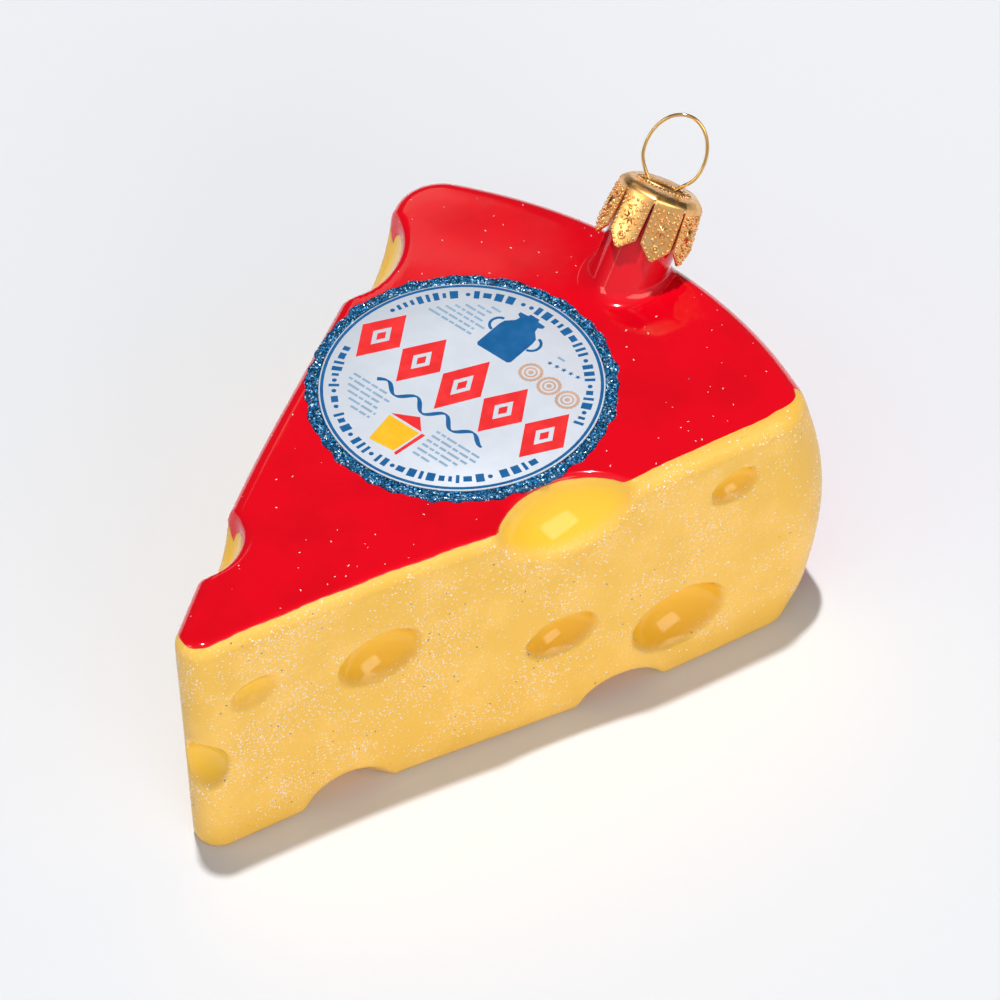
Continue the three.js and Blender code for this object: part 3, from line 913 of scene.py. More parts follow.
class ORNAMENT_OT_specks(bpy.types.Operator):
    """Strew pale specks over the yellow faces and a few over the red"""

    bl_idname = "ornament.specks"
    bl_label = "Pale specks"

    def execute(self, context):
        wedge_piece = bpy.data.objects["glass_wedge"]
        sizes = context.scene.ornament_label
        mesh = wedge_piece.data.copy()
        ground = bpy.data.objects.new("frosting", mesh)
        context.scene.collection.objects.link(ground)
        count = len(mesh.vertices)
        red, depth, place = np.zeros(count), np.zeros(count), np.zeros(count * 3)
        mesh.attributes["red_side"].data.foreach_get("value", red)
        mesh.attributes["hole_depth"].data.foreach_get("value", depth)
        mesh.vertices.foreach_get("co", place)
        place = place.reshape(-1, 3)
        up = smooth_step(1 * MM, 6 * MM, place[:, 2]) * smooth_step(0.2, 1.6, -red)
        drift = waves(place, 13 * MM) + 0.3 * waves(place[:, ::-1], 5 * MM)
        patchy = 0.15 + smooth_step(-0.6, 0.7, drift)
        toward_tip = 0.45 + 0.75 * smooth_step(35 * MM, -40 * MM, place[:, 1])
        yellow = up * patchy * toward_tip * (depth < 0.3)
        from_label = np.linalg.norm(place[:, :2] - np.array(LABEL_MIDDLE)[:2], axis=1)
        outside = from_label > 19.5 * MM
        sparse = 0.02 * (red > 0.3) * (red < 15) * outside
        add_attribute(ground, "strewn", np.maximum(yellow, sparse))
        run_nodes(ground, scatter_tree("Frosting"), {
            "Density": sizes.specks_per_mm2 / MM**2, "Flake radius": sizes.speck, "Width": 0.5,
            "Flatness": 0.35, "Smallest": 0.3, "Tilt": 0.4, "Seed": 3, "Material": speck_material(),
        })
        settle(ground, "lacquered_glass")
        return {"FINISHED"}


# ---- Glitter ring ----
def top_drop(wedge, x, y):
    """How far the glass has fallen away below its flat top at a place near the left face."""
    half = wedge.spread / 2
    from_tip = np.stack([x, y], -1) - tip_place(wedge)[:2]
    outwards = np.array([-math.cos(half), -math.sin(half)])
    ahead = np.array([-math.sin(half), math.cos(half)])
    t = np.clip((from_tip @ ahead) / wedge.side, 0, 1)
    bow = (LEFT_BOW[0] * np.sin(math.pi * t) + LEFT_BOW[1] * np.sin(2 * math.pi * t)) * MM
    over = np.clip(from_tip @ outwards - bow + wedge.top_round, 0, wedge.top_round)
    return wedge.top_round - np.sqrt(wedge.top_round**2 - over**2)


def ring_bead(wedge, inner, outer, height, middle, base, sides=360):
    """A low bead of glue with wandering edges, closed underneath."""
    turns = full_turn(sides)
    jag = 0.22 * MM * (np.sin(17 * turns) + np.sin(29 * turns + 1) + np.sin(43 * turns + 2)) / 2
    points = []
    profile = [(1.0, 0.0), (0.85, 0.55), (0.5, 1.0), (0.15, 0.55), (0.0, 0.0), (0.5, -0.15)]
    for across, rise in profile:
        radius = inner - jag + (outer - inner + 2 * jag) * across
        x, y = middle[0] + radius * np.cos(turns), middle[1] + radius * np.sin(turns)
        z = base + rise * height - top_drop(wedge, x, y)
        points += list(np.stack([x, y, z], -1))
    rows = len(profile)
    return points, grid_faces(rows, sides, True) + closing_faces(rows, sides)


class ORNAMENT_OT_glitter(bpy.types.Operator):
    """Lay the ring of blue glitter round the label"""

    bl_idname = "ornament.glitter"
    bl_label = "Glitter ring"

    def execute(self, context):
        scene = context.scene
        wedge, sizes = scene.ornament_wedge, scene.ornament_label
        middle = (RING_LOW + RING_HIGH) / 2
        outer = (RING_HIGH.x - RING_LOW.x) / 2
        points, faces = ring_bead(
            wedge, LABEL_RADIUS, outer - 0.15 * MM, 0.3 * MM, middle, wedge.thickness
        )
        bead = new_piece("glitter_glue", points, faces)
        bead.data.materials.append(glitter_material(scene.ornament_colours))
        flakes = bpy.data.objects.new("glitter_flakes", bead.data.copy())
        add_attribute(bead, "tint", np.zeros(len(points)))
        scene.collection.objects.link(flakes)
        add_attribute(flakes, "strewn", [1.0 if p[2] > wedge.thickness - 1 * MM else 0 for p in points])
        run_nodes(flakes, scatter_tree("Glitter"), {
            "Density": sizes.flakes_per_mm2 / MM**2, "Flake radius": sizes.flake, "Width": 0.8,
            "Flatness": 0.14, "Smallest": 0.4, "Tilt": 0.75, "Seed": 5, "Material": bead.data.materials[0],
        })
        settle(bead, "blue_glitter", "glitter_ring")
        settle(flakes, "blue_glitter")
        return {"FINISHED"}


# ---- Label ----
class Print:
    """Flat printed shapes on the label, laid out in units of the label's radius."""

    def __init__(self, height):
        self.parts = Parts()
        self.low = LABEL_HIGH.z - 0.05 * MM
        self.high = LABEL_HIGH.z + height

    def spot(self, x, y, z):
        return (LABEL_MIDDLE.x + x * LABEL_RADIUS, LABEL_MIDDLE.y + y * LABEL_RADIUS, z)

    def shape(self, outline):
        """A filled shape from an anticlockwise outline."""
        count = len(outline)
        points = [self.spot(x, y, self.low) for x, y in outline]
        points += [self.spot(x, y, self.high) for x, y in outline]
        faces = [tuple(reversed(range(count))), tuple(range(count, 2 * count))]
        faces += [(i, (i + 1) % count, count + (i + 1) % count, count + i) for i in range(count)]
        self.parts.add(points, faces)

    def ring(self, centre, inner, outer, sides=48, teeth=0.0):
        """A flat ring, with a scalloped outer edge if it has teeth."""
        turns = full_turn(sides)
        edge = outer * (1 + teeth * (np.arange(sides) % 2))
        points = []
        for radius, z in ((outer, self.low), (outer, self.high), (inner, self.high), (inner, self.low)):
            reach = edge if radius == outer else np.full(sides, inner)
            points += [
                self.spot(centre[0] + r * math.cos(a), centre[1] + r * math.sin(a), z)
                for r, a in zip(reach, turns)
            ]
        self.parts.add(points, grid_faces(4, sides, True) + closing_faces(4, sides))

    def bar(self, x, y, wide, tall, slope=0.0):
        c, s = math.cos(slope), math.sin(slope)
        corners = ((-wide, -tall), (wide, -tall), (wide, tall), (-wide, tall))
        self.shape([(x + (u * c - v * s) / 2, y + (u * s + v * c) / 2) for u, v in corners])

    def dot(self, x, y, radius, sides=12):
        self.shape([(x + radius * math.cos(a), y + radius * math.sin(a)) for a in full_turn(sides)])

    def star(self, x, y, radius, rays=5):
        outline = []
        for i in range(2 * rays):
            reach = radius if i % 2 == 0 else radius * 0.42
            a = math.pi / 2 + math.pi * i / rays
            outline.append((x + reach * math.cos(a), y + reach * math.sin(a)))
        self.shape(outline)

    def ribbon(self, line, wide):
        """A stroke of even or swelling width along a line of points."""
        line = np.asarray(line, float)
        ahead = np.gradient(line, axis=0)
        ahead /= np.linalg.norm(ahead, axis=1)[:, None]
        side = np.c_[-ahead[:, 1], ahead[:, 0]] * np.reshape(wide, (-1, 1)) / 2
        self.shape([tuple(p) for p in line - side] + [tuple(p) for p in (line + side)[::-1]])

    def piece(self, name, material):
        piece = self.parts.piece(name, smooth=False)
        piece.data.materials.append(material)
        return settle(piece, "label_paper")


def print_red_shapes(height):
    """Five bold lozenges in a row across the label, each with a pale middle."""
    sheet = Print(height)
    for x in (-0.76, -0.38, 0.0, 0.38, 0.76):
        tall = 0.27 if x else 0.3
        outline = [(x + 0.175, 0), (x, tall), (x - 0.175, 0), (x, -tall)]
        inner = [(x + (u - x) * 0.42, v * 0.42) for u, v in outline]
        for i in range(4):
            n = (i + 1) % 4
            sheet.shape([outline[i], outline[n], inner[n], inner[i]])
        sheet.shape([(x + (u - x) * 0.2, v * 0.2) for u, v in outline])
    return sheet


def churn_outline(x, y, size):
    """A milk churn seen from the side: foot, body, shoulder, collar and lid."""
    half = (
        (0.3, 0.0), (0.34, 0.04), (0.34, 0.56), (0.32, 0.66), (0.2, 0.78), (0.18, 0.86), (0.25, 0.9),
        (0.25, 0.96), (0.1, 0.97), (0.09, 1.02),
    )
    right = [(x + u * size, y + v * size) for u, v in half]
    left = [(2 * x - u, v) for u, v in reversed(right)]
    return right + left


def print_blue_shapes(height):
    """The border, the marks round the rim, a churn, stars and a flourish."""
    sheet = Print(height)
    sheet.ring((0, 0), 0.975, 0.998, 96)
    sheet.shape(churn_outline(-0.04, 0.37, 0.46))
    for side in (-1, 1):
        middle = 90 - 90 * side
        sheet.ribbon(arc_line(-0.04 + side * 0.15, 0.62, 0.07, middle - 80, middle + 80, 9), 0.022)
    random_marks = random.Random(8)
    for low, high in ((15, 165), (195, 345)):
        turn = low
        while turn < high:
            wide = random_marks.choice((1.6, 2.6, 3.8))
            if random_marks.random() < 0.16:
                a = math.radians(turn + 1)
                sheet.dot(0.9 * math.cos(a), 0.9 * math.sin(a), 0.018, 8)
            else:
                a, b = math.radians(turn), math.radians(turn + wide)
                steps = np.linspace(a, b, 4)
                line = [(0.9 * math.cos(t), 0.9 * math.sin(t)) for t in steps]
                sheet.ribbon(line, random_marks.choice((0.05, 0.075, 0.075)))
            turn += wide + 1.7
    for i in range(5):
        sheet.star(0.335 + 0.06 * i, 0.56 + 0.005 * i, 0.022)
    t = np.linspace(0, 1, 90)
    x = -0.5 + 1.0 * t
    y = -0.335 + 0.05 * np.sin(t * 7.5 * math.pi) * (0.6 + 0.4 * np.sin(t * math.pi))
    sheet.ribbon(np.c_[x, y], 0.014 + 0.02 * np.abs(np.cos(t * 7.5 * math.pi)))
    return sheet


def arc_line(x, y, radius, start, end, count):
    turns = np.radians(np.linspace(start, end, count))
    return np.c_[x + radius * np.cos(turns), y + radius * np.sin(turns)]


def print_pale_shapes(height):
    """Blocks of fine bars, set like short paragraphs but only bars."""
    sheet = Print(height)
    mark = random.Random(21)
    blocks = (
        (-0.72, -0.24, 0.72, 0.37), (-0.66, -0.26, -0.4, -0.66), (0.16, 0.6, -0.45, -0.74),
        (0.34, 0.58, 0.64, 0.6),
    )
    for left, right, top, bottom in blocks:
        for row in np.arange(top, bottom, -0.05):
            reach = math.sqrt(max(0.0, 0.8**2 - row**2))
            x, stop = max(left, -reach), min(right, reach) - mark.random() * 0.08
            while x < stop - 0.02:
                wide = min(mark.uniform(0.03, 0.11), stop - x)
                sheet.bar(x + wide / 2, row, wide, 0.02)
                x += wide + 0.014
    return sheet


def print_gold_shapes(height):
    """Three plain seals with scalloped edges."""
    sheet = Print(height)
    for x, y in ((0.29, 0.405), (0.475, 0.385), (0.66, 0.365)):
        sheet.ring((x, y), 0.066, 0.086, 36, 0.06)
        sheet.ring((x, y), 0.036, 0.05, 24)
        sheet.dot(x, y, 0.02, 10)
    return sheet


def print_wedge_shapes(height, yellow):
    """A small wedge of cheese: its yellow face, or the red rind behind it."""
    sheet = Print(height)
    if yellow:
        sheet.shape([(-0.2, -0.54), (0.08, -0.54), (0.05, -0.78), (-0.16, -0.8)])
    else:
        sheet.shape([(-0.2, -0.52), (-0.02, -0.42), (0.08, -0.52)])
        sheet.shape([(0.095, -0.53), (0.125, -0.53), (0.09, -0.8), (0.065, -0.79)])
    return sheet


def ink_material(name, value, clouding=0.1):
    """Printing ink: slightly uneven, with the paper's tooth showing through."""
    material, tree, shader = new_material(name, value, 0.45, Specular_IOR_Level=0.25)
    uneven = uneven_finish(tree, 500.0, 6000.0)
    lighter = tuple(min(1.0, c * (1 + clouding) + 0.1 * clouding) for c in value)
    tone = mix_colour(tree, uneven["Blotch"], opaque(value), opaque(lighter))
    tree.links.new(tone, shader.inputs["Base Color"])
    tree.links.new(remap(tree, uneven["Grain"], 0.0, 1.0, 0.38, 0.52), shader.inputs["Roughness"])
    bump(tree, shader, uneven["Grain"], 0.004 * MM)
    return material


class ORNAMENT_OT_label(bpy.types.Operator):
    """Make the round paper label and its print"""

    bl_idname = "ornament.label"
    bl_label = "Label"

    def execute(self, context):
        scene = context.scene
        colours, height = scene.ornament_colours, scene.ornament_label.print_height
        middle, radius = LABEL_MIDDLE, LABEL_RADIUS + 0.15 * MM
        edge = 0.06 * MM
        sides = 144
        profile = (
            (0.0, LABEL_LOW.z), (radius * 0.5, LABEL_LOW.z), (radius - edge, LABEL_LOW.z),
            (radius, LABEL_LOW.z + edge), (radius, LABEL_HIGH.z - edge), (radius - edge, LABEL_HIGH.z),
            (radius * 0.5, LABEL_HIGH.z), (0.0, LABEL_HIGH.z),
        )
        points = [
            (middle.x + reach * math.cos(a), middle.y + reach * math.sin(a), z)
            for reach, z in profile[1:-1] for a in full_turn(sides)
        ]
        rows = len(profile) - 2
        faces = grid_faces(rows, sides, True) + lid_faces(rows, sides, len(points), len(points) + 1)
        points += [(middle.x, middle.y, profile[0][1]), (middle.x, middle.y, profile[-1][1])]
        disc = new_piece("paper_label", points, faces)
        disc.data.materials.append(ink_material("Label paper", colours.paper, 0.03))
        settle(disc, "label_paper", "label")
        print_red_shapes(height).piece("print_lozenges", ink_material("Red ink", colours.print_red))
        print_blue_shapes(height).piece("print_border", ink_material("Blue ink", colours.print_blue))
        print_pale_shapes(height).piece("print_bars", ink_material("Pale ink", colours.print_pale))
        print_gold_shapes(height).piece("print_seals", ink_material("Buff ink", colours.print_gold))
        yellow_ink = ink_material("Yellow ink", colours.print_yellow)
        print_wedge_shapes(height, True).piece("print_wedge", yellow_ink)
        print_wedge_shapes(height, False).piece("print_rind", bpy.data.materials["Red ink"])
        return {"FINISHED"}


# ---- Crown cap ----
# Slits between the petals: the height they reach, and half their width below and above.
SLIT_TOP = 6.7
SLIT_HALF = (0.32, 0.13)
# Half sizes of the slot in the plate, and the width and height of the lip round it.
SLOT_OPENING = (2.45, 0.8)
LIP = (0.45, 0.26)
LIP_FOOT = 0.12
PETAL_COLUMNS = 17
# Half width of a petal's blunt tip, and how far its face swells.
TIP_HALF = 0.28
PETAL_SWELL = 0.22
# Heights of the stamped ring, star and curls, and how proud the finer figures stand.
RING_UP, STAR_UP, CURL_UP = 1.55, 3.95, 5.6
PROUD = 0.04


class CapShape:
    """Places on the cap, from a petal's own across, up and out distances in millimetres."""

    def __init__(self, wedge, cap):
        self.first, self.second, self.along, self.zero = neck_axes(wedge, cap.turn)
        self.petals = cap.petals
        self.half = math.pi / cap.petals
        self.hem, self.shoulder = cap.hem_radius / MM, cap.shoulder_radius / MM
        self.plate_radius = cap.plate_radius / MM
        self.heights = (cap.gable / MM, cap.shoulder / MM, cap.plate / MM)

    def corner_radius(self, up):
        return self.hem + (self.shoulder - self.hem) * up / self.heights[1]

    def spot(self, x, y, up):
        return self.zero + (self.first * x + self.second * y + self.along * up) * MM

    def on_petal(self, petal, across, up, out=0.0):
        """A point on a petal: across its middle line, up from its tip, and proud of its face."""
        middle = (2 * petal + 1) * self.half
        radius = self.corner_radius(up)
        flat = radius * math.cos(self.half) + out
        swell = PETAL_SWELL * (1 - min(1.0, (across / (radius * math.sin(self.half))) ** 2))
        reach = flat + swell
        x = reach * math.cos(middle) - across * math.sin(middle)
        y = reach * math.sin(middle) + across * math.cos(middle)
        return self.spot(x, y, up)

    def half_width(self, up):
        """Half the petal's width: the pointed gable, then the sides between the slits."""
        gable = self.heights[0]
        full = self.corner_radius(max(up, gable)) * math.sin(self.half)
        slit = SLIT_HALF[0] + (SLIT_HALF[1] - SLIT_HALF[0]) * max(0, up - gable) / (SLIT_TOP - gable)
        if up >= SLIT_TOP:
            return full
        wide = full - slit
        if up >= gable:
            return wide
        t = up / gable
        return TIP_HALF + (wide - TIP_HALF) * t

    def rows(self, petal):
        """Rows of points up a petal, over the shoulder and plate, and over the slot's lip."""
        columns = np.linspace(-1, 1, PETAL_COLUMNS)
        gable, shoulder, plate = self.heights
        ups = np.concatenate([
            np.linspace(0, gable, 6), np.linspace(gable, SLIT_TOP, 12)[1:],
            [SLIT_TOP + 0.01, shoulder - 0.15],
        ])
        rows = [[self.on_petal(petal, c * self.half_width(u), u) for c in columns] for u in ups]
        edge = [self.on_petal(petal, c * self.half_width(SLIT_TOP), ups[-1]) for c in columns]
        flat = [((p - self.zero) @ self.first / MM, (p - self.zero) @ self.second / MM) for p in edge]
        ratio = self.plate_radius / self.shoulder
        chamfer = (
            (0.06, shoulder + 0.02), (0.35, shoulder + 0.26), (0.7, plate - 0.16), (1.0, plate - 0.02),
        )
        for share_in, up in chamfer:
            scale = 1 + (ratio - 1) * share_in
            rows.append([self.spot(x * scale, y * scale, up) for x, y in flat])
        return rows + self.lip_rows([(x * ratio, y * ratio) for x, y in flat])

    def lip_rows(self, plate_edge):
        """Rows from the plate's edge to the slot, over the lip and down inside it."""
        plate = self.heights[2]
        lip, tall = LIP
        turns = [math.atan2(y, x) for x, y in plate_edge]

        def oval(grow):
            long, wide = SLOT_OPENING[0] + grow, SLOT_OPENING[1] + grow
            return [(long * math.cos(a), wide * math.sin(a)) for a in turns]

        rows = [[
            self.spot((x + 2 * u) / 3, (y + 2 * v) / 3, plate)
            for (x, y), (u, v) in zip(plate_edge, oval(lip + LIP_FOOT))
        ]]
        profile = (
            (lip + LIP_FOOT, 0.0), (lip, 0.08), (lip * 0.85, tall * 0.8), (lip * 0.5, tall),
            (lip * 0.12, tall * 0.85), (0.0, 0.2), (0.0, -0.5),
        )
        for grow, rise in profile:
            rows.append([self.spot(x, y, plate + rise) for x, y in oval(grow)])
        return rows


def cap_shell(shape, sheet):
    parts = Parts()
    for petal in range(shape.petals):
        rows = shape.rows(petal)
        parts.add([p for row in rows for p in row], grid_faces(len(rows), PETAL_COLUMNS))
    piece = parts.piece("crown_cap")
    weld = piece.modifiers.new("Join petals", "WELD")
    weld.merge_threshold = 0.004 * MM
    solid = piece.modifiers.new("Sheet metal", "SOLIDIFY")
    solid.thickness = sheet
    solid.offset = -1
    solid.use_even_offset = True
    bevel = piece.modifiers.new("Soft edges", "BEVEL")
    bevel.width = 0.05 * MM
    bevel.segments = 2
    bevel.limit_method = "ANGLE"
    bevel.angle_limit = math.radians(50)
    return baked(piece)


def bead_places(shape, cap):
    """Middles of the stamped beads: petal borders, star dots and the ring round the slot."""
    gable, shoulder, plate = shape.heights
    step = 3.2 * cap.bead / MM
    places = []
    for petal in range(shape.petals):
        for side in (-1, 1):
            for up in np.arange(gable + 0.15, shoulder - 0.9, step):
                places.append(shape.on_petal(petal, side * (shape.half_width(up) - 0.27), up, 0.02))
            for t in np.linspace(0.1, 0.9, 4):
                wide = shape.half_width(gable * t) - 0.05
                places.append(shape.on_petal(petal, side * wide * 0.9, gable * t + 0.22, 0.02))
        for across in np.arange(-2, 3) * step:
            places.append(shape.on_petal(petal, across, shoulder - 0.95, 0.02))
        for turn in full_turn(8) + math.pi / 8:
            place = (1.12 * math.cos(turn), STAR_UP + 1.12 * math.sin(turn))
            places.append(shape.on_petal(petal, *place, 0.0))
        places.append(shape.on_petal(petal, 0, RING_UP, 0.02))
        places.append(shape.on_petal(petal, 0, CURL_UP, 0.03))
        corner = shape.corner_radius(SLIT_TOP + 0.15) - 0.1
        turn = 2 * petal * shape.half
        places.append(shape.spot(corner * math.cos(turn), corner * math.sin(turn), SLIT_TOP + 0.15))
    for turn in full_turn(40):
        oval = ((SLOT_OPENING[0] + 0.95) * math.cos(turn), (SLOT_OPENING[1] + 1.15) * math.sin(turn))
        places.append(shape.spot(*oval, plate - 0.02))
    return places


def bead_tree():
    """Sets a small low ball on every point."""
    tree, entry = new_nodes("Stamped beads", Bead_radius="Float")
    ball = add_node(
        tree, "GeometryNodeMeshUVSphere", {"Segments": 8, "Rings": 5, "Radius": entry["Bead radius"]}
    )
    smooth = add_node(tree, "GeometryNodeSetShadeSmooth", {"Geometry": ball.outputs["Mesh"]})
    placed = add_node(tree, "GeometryNodeInstanceOnPoints", {
        "Points": entry["Geometry"], "Instance": smooth.outputs[0], "Scale": chance(tree, 0.85, 1.12, 4),
    })
    return end_nodes(tree, entry, placed.outputs[0])


def stamped_figures(shape):
    """The raised star, ring and curved marks on each petal."""
    parts = Parts()
    for petal in range(shape.petals):
        add_star(parts, shape, petal)
        ring = [
            shape.on_petal(petal, 0.42 * math.cos(a), RING_UP + 0.42 * math.sin(a), PROUD)
            for a in full_turn(14)
        ]
        parts.add(*tube(ring, 0.15 * MM, 6, True))
        for side in (-1, 1):
            curl = [
                shape.on_petal(petal, side * (0.75 + 0.5 * math.cos(a)), CURL_UP + 0.4 * math.sin(a), PROUD)
                for a in np.radians(np.linspace(-150, 60, 9))
            ]
            parts.add(*tube(curl, 0.14 * MM, 6))
            vein = [
                shape.on_petal(petal, side * (0.35 + 0.5 * t), 2.25 + 0.45 * t, PROUD)
                for t in (0, 0.5, 1)
            ]
            parts.add(*tube(vein, 0.14 * MM, 6))
    return parts.piece("cap_stamping")


def add_star(parts, shape, petal, rays=8):
    """A raised star: a ridge to each point and a closed back in the metal."""
    points = [shape.on_petal(petal, 0, STAR_UP, out) for out in (0.38, -0.15)]
    count = 2 * rays
    for level in (0.06, -0.12):
        for i in range(count):
            reach = 1.0 if i % 2 == 0 else 0.36
            a = math.pi * i / rays
            points.append(shape.on_petal(petal, reach * math.cos(a), STAR_UP + reach * math.sin(a), level))
    faces = []
    for i in range(count):
        a, b = 2 + i, 2 + (i + 1) % count
        faces += [(0, a, b), (count + a, count + b, b, a), (1, count + b, count + a)]
    parts.add(points, faces)


def gold_material(name, value, roughness):
    """Thin gold-coloured metal with faint stains and handling marks."""
    material, tree, shader = new_material(name, value, roughness, 1.0)
    uneven = uneven_finish(tree, 700.0, 5200.0)
    darker = tuple(c * s for c, s in zip(value, (0.88, 0.8, 0.68)))
    tone = mix_colour(tree, uneven["Blotch"], opaque(value), opaque(darker))
    tree.links.new(tone, shader.inputs["Base Color"])
    rough = remap(tree, uneven["Blotch"], 0.0, 1.0, roughness * 0.85, roughness * 1.2)
    tree.links.new(rough, shader.inputs["Roughness"])
    bump(tree, shader, uneven["Grain"], 0.001 * MM)
    return material


class ORNAMENT_OT_cap(bpy.types.Operator):
    """Stamp the crown cap with its petals, beads and slot"""

    bl_idname = "ornament.cap"
    bl_label = "Crown cap"

    def execute(self, context):
        scene = context.scene
        cap = scene.ornament_cap
        shape = CapShape(scene.ornament_wedge, cap)
        gold = gold_material("Stamped gold", scene.ornament_colours.gold, 0.3)
        shell = cap_shell(shape, cap.sheet)
        shell.data.materials.clear()
        shell.data.materials.append(gold)
        figures = stamped_figures(shape)
        figures.data.materials.append(gold)
        beads = new_piece("cap_beads", bead_places(shape, cap), [])
        run_nodes(beads, bead_tree(), {"Bead radius": cap.bead, "Material": gold})
        settle(shell, "gold_cap", "cap")
        settle(figures, "gold_cap")
        settle(beads, "gold_cap")
        return {"FINISHED"}


# ---- Wire hanger ----
LOOP = {"middle": 12.2, "aside": -0.35, "tall": 5.0, "wide": 3.78, "half_turn": 108, "steps": 24}
# The legs below the loop: how far from the axis, and how high along it, in millimetres.
LEFT_LEG = (
    (-3.68, 10.05), (-3.2, 9.3), (-2.6, 8.6), (-1.95, 7.85), (-1.7, 6.9), (-1.8, 5.4), (-2.2, 3.8),
    (-2.8, 1.2),
)
RIGHT_LEG = (
    (3.0, 10.05), (2.55, 9.4), (1.98, 8.75), (1.45, 7.9), (1.4, 6.9), (1.6, 5.4), (2.1, 3.8),
    (2.8, 1.2),
)


def smooth_route(points, per_span=8):
    """A curve through all the points, as an even Catmull-Rom spline."""
    padded = [2 * points[0] - points[1], *points, 2 * points[-1] - points[-2]]
    route = []
    for a, b, c, d in zip(padded, padded[1:], padded[2:], padded[3:]):
        square, cube = 2 * a - 5 * b + 4 * c - d, 3 * b - a - 3 * c + d
        for t in np.arange(per_span) / per_span:
            route.append(0.5 * (2 * b + (c - a) * t + square * t**2 + cube * t**3))
    return route + [points[-1]]


class ORNAMENT_OT_hanger(bpy.types.Operator):
    """Bend the wire hanger"""

    bl_idname = "ornament.hanger"
    bl_label = "Wire hanger"

    def execute(self, context):
        scene = context.scene
        cap = scene.ornament_cap
        first, _, along, zero = neck_axes(scene.ornament_wedge, cap.turn)
        turns = np.radians(np.linspace(-LOOP["half_turn"], LOOP["half_turn"], LOOP["steps"] + 1))
        loop = [
            (LOOP["aside"] + LOOP["wide"] * math.sin(a), LOOP["middle"] + LOOP["tall"] * math.cos(a))
            for a in turns
        ]
        whole = [*reversed(LEFT_LEG), *loop, *RIGHT_LEG]
        route = [zero + (first * across + along * up) * MM for across, up in whole]
        points, faces = tube(smooth_route(route), cap.wire / 2, 16)
        piece = new_piece("wire_loop", points, faces)
        piece.data.materials.append(gold_material("Wire gold", scene.ornament_colours.wire, 0.16))
        settle(piece, "gold_wire", "wire_hanger")
        return {"FINISHED"}


# ---- Stage ----
SUN_TOWARDS = (-0.0953, 0.0754, 0.9926)
SIDE_TOWARDS = (0.68, 0.0, 0.73)
FRONT_TOWARDS = (-0.41, -0.66, 0.63)
FILL_TOWARDS = (0.9, -0.42, 0.11)


def camera_back(stage):
    a, e = stage.azimuth, stage.elevation
    return Vector((math.sin(a) * math.cos(e), -math.cos(a) * math.cos(e), math.sin(e)))


def add_camera(scene, stage):
    camera = bpy.data.cameras.new("Camera")
    camera.lens = stage.lens
    camera.sensor_width = 36
    camera.clip_start, camera.clip_end = 0.01, 20
    seen = bpy.data.objects.new("Camera", camera)
    scene.collection.objects.link(seen)
    back = camera_back(stage)
    right = UP.cross(back).normalized()
    above = back.cross(right)
    c, s = math.cos(stage.roll), math.sin(stage.roll)
    columns = (right * c + above * s, above * c - right * s, back)
    turned = Matrix(columns).transposed().to_4x4()
    turned.translation = Vector(stage.aim) + back * stage.distance
    seen.matrix_world = turned
    scene.camera = seen


def add_floor(colours, size=6.0):
    corners = [(-size, -size, 0), (size, -size, 0), (size, size, 0), (-size, size, 0)]
    floor = new_piece("floor", corners, [(0, 1, 2, 3)], False)
    material, tree, shader = new_material("Pale floor", colours.floor, 0.9, Specular_IOR_Level=0.1)
    bump(tree, shader, noise(tree, place_of(tree), 300.0), 0.01 * MM)
    floor.data.materials.append(material)


def add_sun(scene, name, strength, towards, width):
    lamp = bpy.data.lights.new(name, "SUN")
    lamp.energy = strength
    lamp.angle = math.radians(width)
    place = bpy.data.objects.new(name, lamp)
    scene.collection.objects.link(place)
    place.rotation_mode = "QUATERNION"
    place.rotation_quaternion = Vector(towards).to_track_quat("Z", "Y")
    return place


def add_panel(name, towards, middle, half, strength, soft):
    """A glowing panel that faces the ornament, and fades over a share of its half size."""
    side = UP.cross(towards).normalized()
    above = towards.cross(side)
    corners = ((-1, -1), (-1, 1), (1, 1), (1, -1))
    places = [Vector(middle) + side * x * half[0] + above * y * half[1] for x, y in corners]
    panel = new_piece(name, places, [(0, 1, 2, 3)], False)
    add_attribute(panel, "across", [x for x, _ in corners])
    add_attribute(panel, "upwards", [y for _, y in corners])
    material = bpy.data.materials.new(name)
    material.use_nodes = True
    tree = material.node_tree
    tree.nodes.clear()
    level = strength
    for axis in ("across", "upwards"):
        away = maths(tree, "ABSOLUTE", attribute_value(tree, axis))
        level = maths(tree, "MULTIPLY", remap(tree, away, 1 - soft, 1.0, 1.0, 0.0), level)
    light = add_node(tree, "ShaderNodeEmission", {"Color": (1.0, 0.96, 0.82, 1), "Strength": level})
    leave = tree.nodes.new("ShaderNodeOutputMaterial")
    tree.links.new(light.outputs[0], leave.inputs[0])
    panel.data.materials.append(material)
    panel.visible_diffuse = False


def add_panels(stage):
    """Soft panels behind for the red top and at the side, and a crisper one in front."""
    back = camera_back(stage)
    behind = Vector((-back.x, -back.y, back.z))
    side = UP.cross(behind).normalized()
    above = behind.cross(side)
    middle = behind * 1.1 + side * 0.12 - above * 0.17
    add_panel("rear_panel", behind, middle, (0.16, 0.15), stage.rear_panel, 0.35)
    beside = Vector(SIDE_TOWARDS).normalized()
    add_panel("side_panel", beside, beside, (0.42, 0.3), stage.side_panel, 0.35)
    ahead = Vector(FRONT_TOWARDS).normalized()
    add_panel("front_panel", ahead, ahead, (0.13, 0.3), stage.front_panel, 0.1)


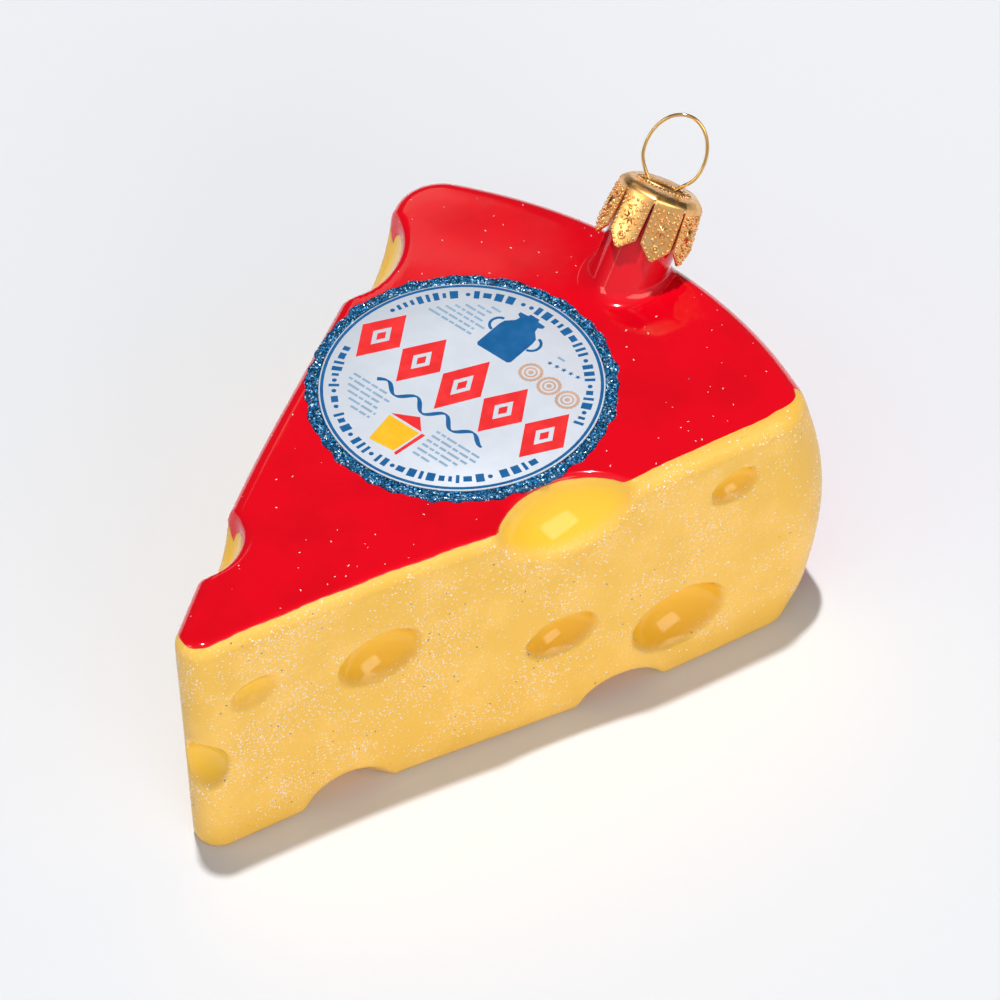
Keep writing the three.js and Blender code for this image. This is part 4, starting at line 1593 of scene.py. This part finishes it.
def add_room(scene, stage):
    """A dark room that brightens towards the front, so that metal and lacquer have contrast."""
    world = bpy.data.worlds.new("Room")
    scene.world = world
    world.use_nodes = True
    tree = world.node_tree
    tree.nodes.clear()
    direction = add_node(tree, "ShaderNodeTexCoord").outputs["Generated"]
    front = camera_back(stage) * Vector((1, 1, 0)) + UP * 0.05
    facing = add_node(
        tree, "ShaderNodeVectorMath", {0: direction, 1: front.normalized()}, operation="DOT_PRODUCT"
    )
    level = remap(tree, facing.outputs["Value"], -0.3, 0.7, 0.07, 0.56)
    strength = maths(tree, "MULTIPLY", level, stage.sky)
    inputs = {"Color": (0.92, 0.97, 1.06, 1), "Strength": strength}
    background = add_node(tree, "ShaderNodeBackground", inputs)
    leave = tree.nodes.new("ShaderNodeOutputWorld")
    tree.links.new(background.outputs[0], leave.inputs[0])


class ORNAMENT_OT_stage(bpy.types.Operator):
    """Set the floor, the lights and the camera"""

    bl_idname = "ornament.stage"
    bl_label = "Stage"

    def execute(self, context):
        scene = context.scene
        stage = scene.ornament_stage
        scene.view_settings.view_transform = "Standard"
        add_camera(scene, stage)
        add_floor(scene.ornament_colours)
        add_room(scene, stage)
        add_sun(scene, "Key", stage.sun, SUN_TOWARDS, 2.2)
        add_sun(scene, "Fill", stage.fill, FILL_TOWARDS, 50).visible_glossy = False
        add_panels(stage)
        return {"FINISHED"}


# ---- Panel and registration ----
OPERATORS = (
    ORNAMENT_OT_stage, ORNAMENT_OT_glass, ORNAMENT_OT_specks, ORNAMENT_OT_glitter, ORNAMENT_OT_label,
    ORNAMENT_OT_cap, ORNAMENT_OT_hanger,
)
SETTINGS = {
    "ornament_wedge": OrnamentWedge, "ornament_label": OrnamentLabel, "ornament_cap": OrnamentCap,
    "ornament_colours": OrnamentColours, "ornament_stage": OrnamentStage,
}


class ORNAMENT_PT_panel(bpy.types.Panel):
    """Lists the pieces of the ornament and their settings"""

    bl_label = "Glass ornament"
    bl_idname = "ORNAMENT_PT_panel"
    bl_space_type = "VIEW_3D"
    bl_region_type = "UI"
    bl_category = "Ornament"

    def draw(self, context):
        for operator in OPERATORS:
            self.layout.operator(operator.bl_idname)
        for name in SETTINGS:
            settings = getattr(context.scene, name)
            box = self.layout.box()
            for key in settings.__annotations__:
                box.prop(settings, key)


def register():
    for group in SETTINGS.values():
        bpy.utils.register_class(group)
    for name, group in SETTINGS.items():
        setattr(bpy.types.Scene, name, PointerProperty(type=group))
    for item in (*OPERATORS, ORNAMENT_PT_panel):
        bpy.utils.register_class(item)


def unregister():
    for item in reversed((*OPERATORS, ORNAMENT_PT_panel)):
        bpy.utils.unregister_class(item)
    for name, group in SETTINGS.items():
        delattr(bpy.types.Scene, name)
        bpy.utils.unregister_class(group)


def main():
    register()
    for operator in OPERATORS:
        group, name = operator.bl_idname.split(".")
        getattr(getattr(bpy.ops, group), name)()


if __name__ == "__main__":
    main()
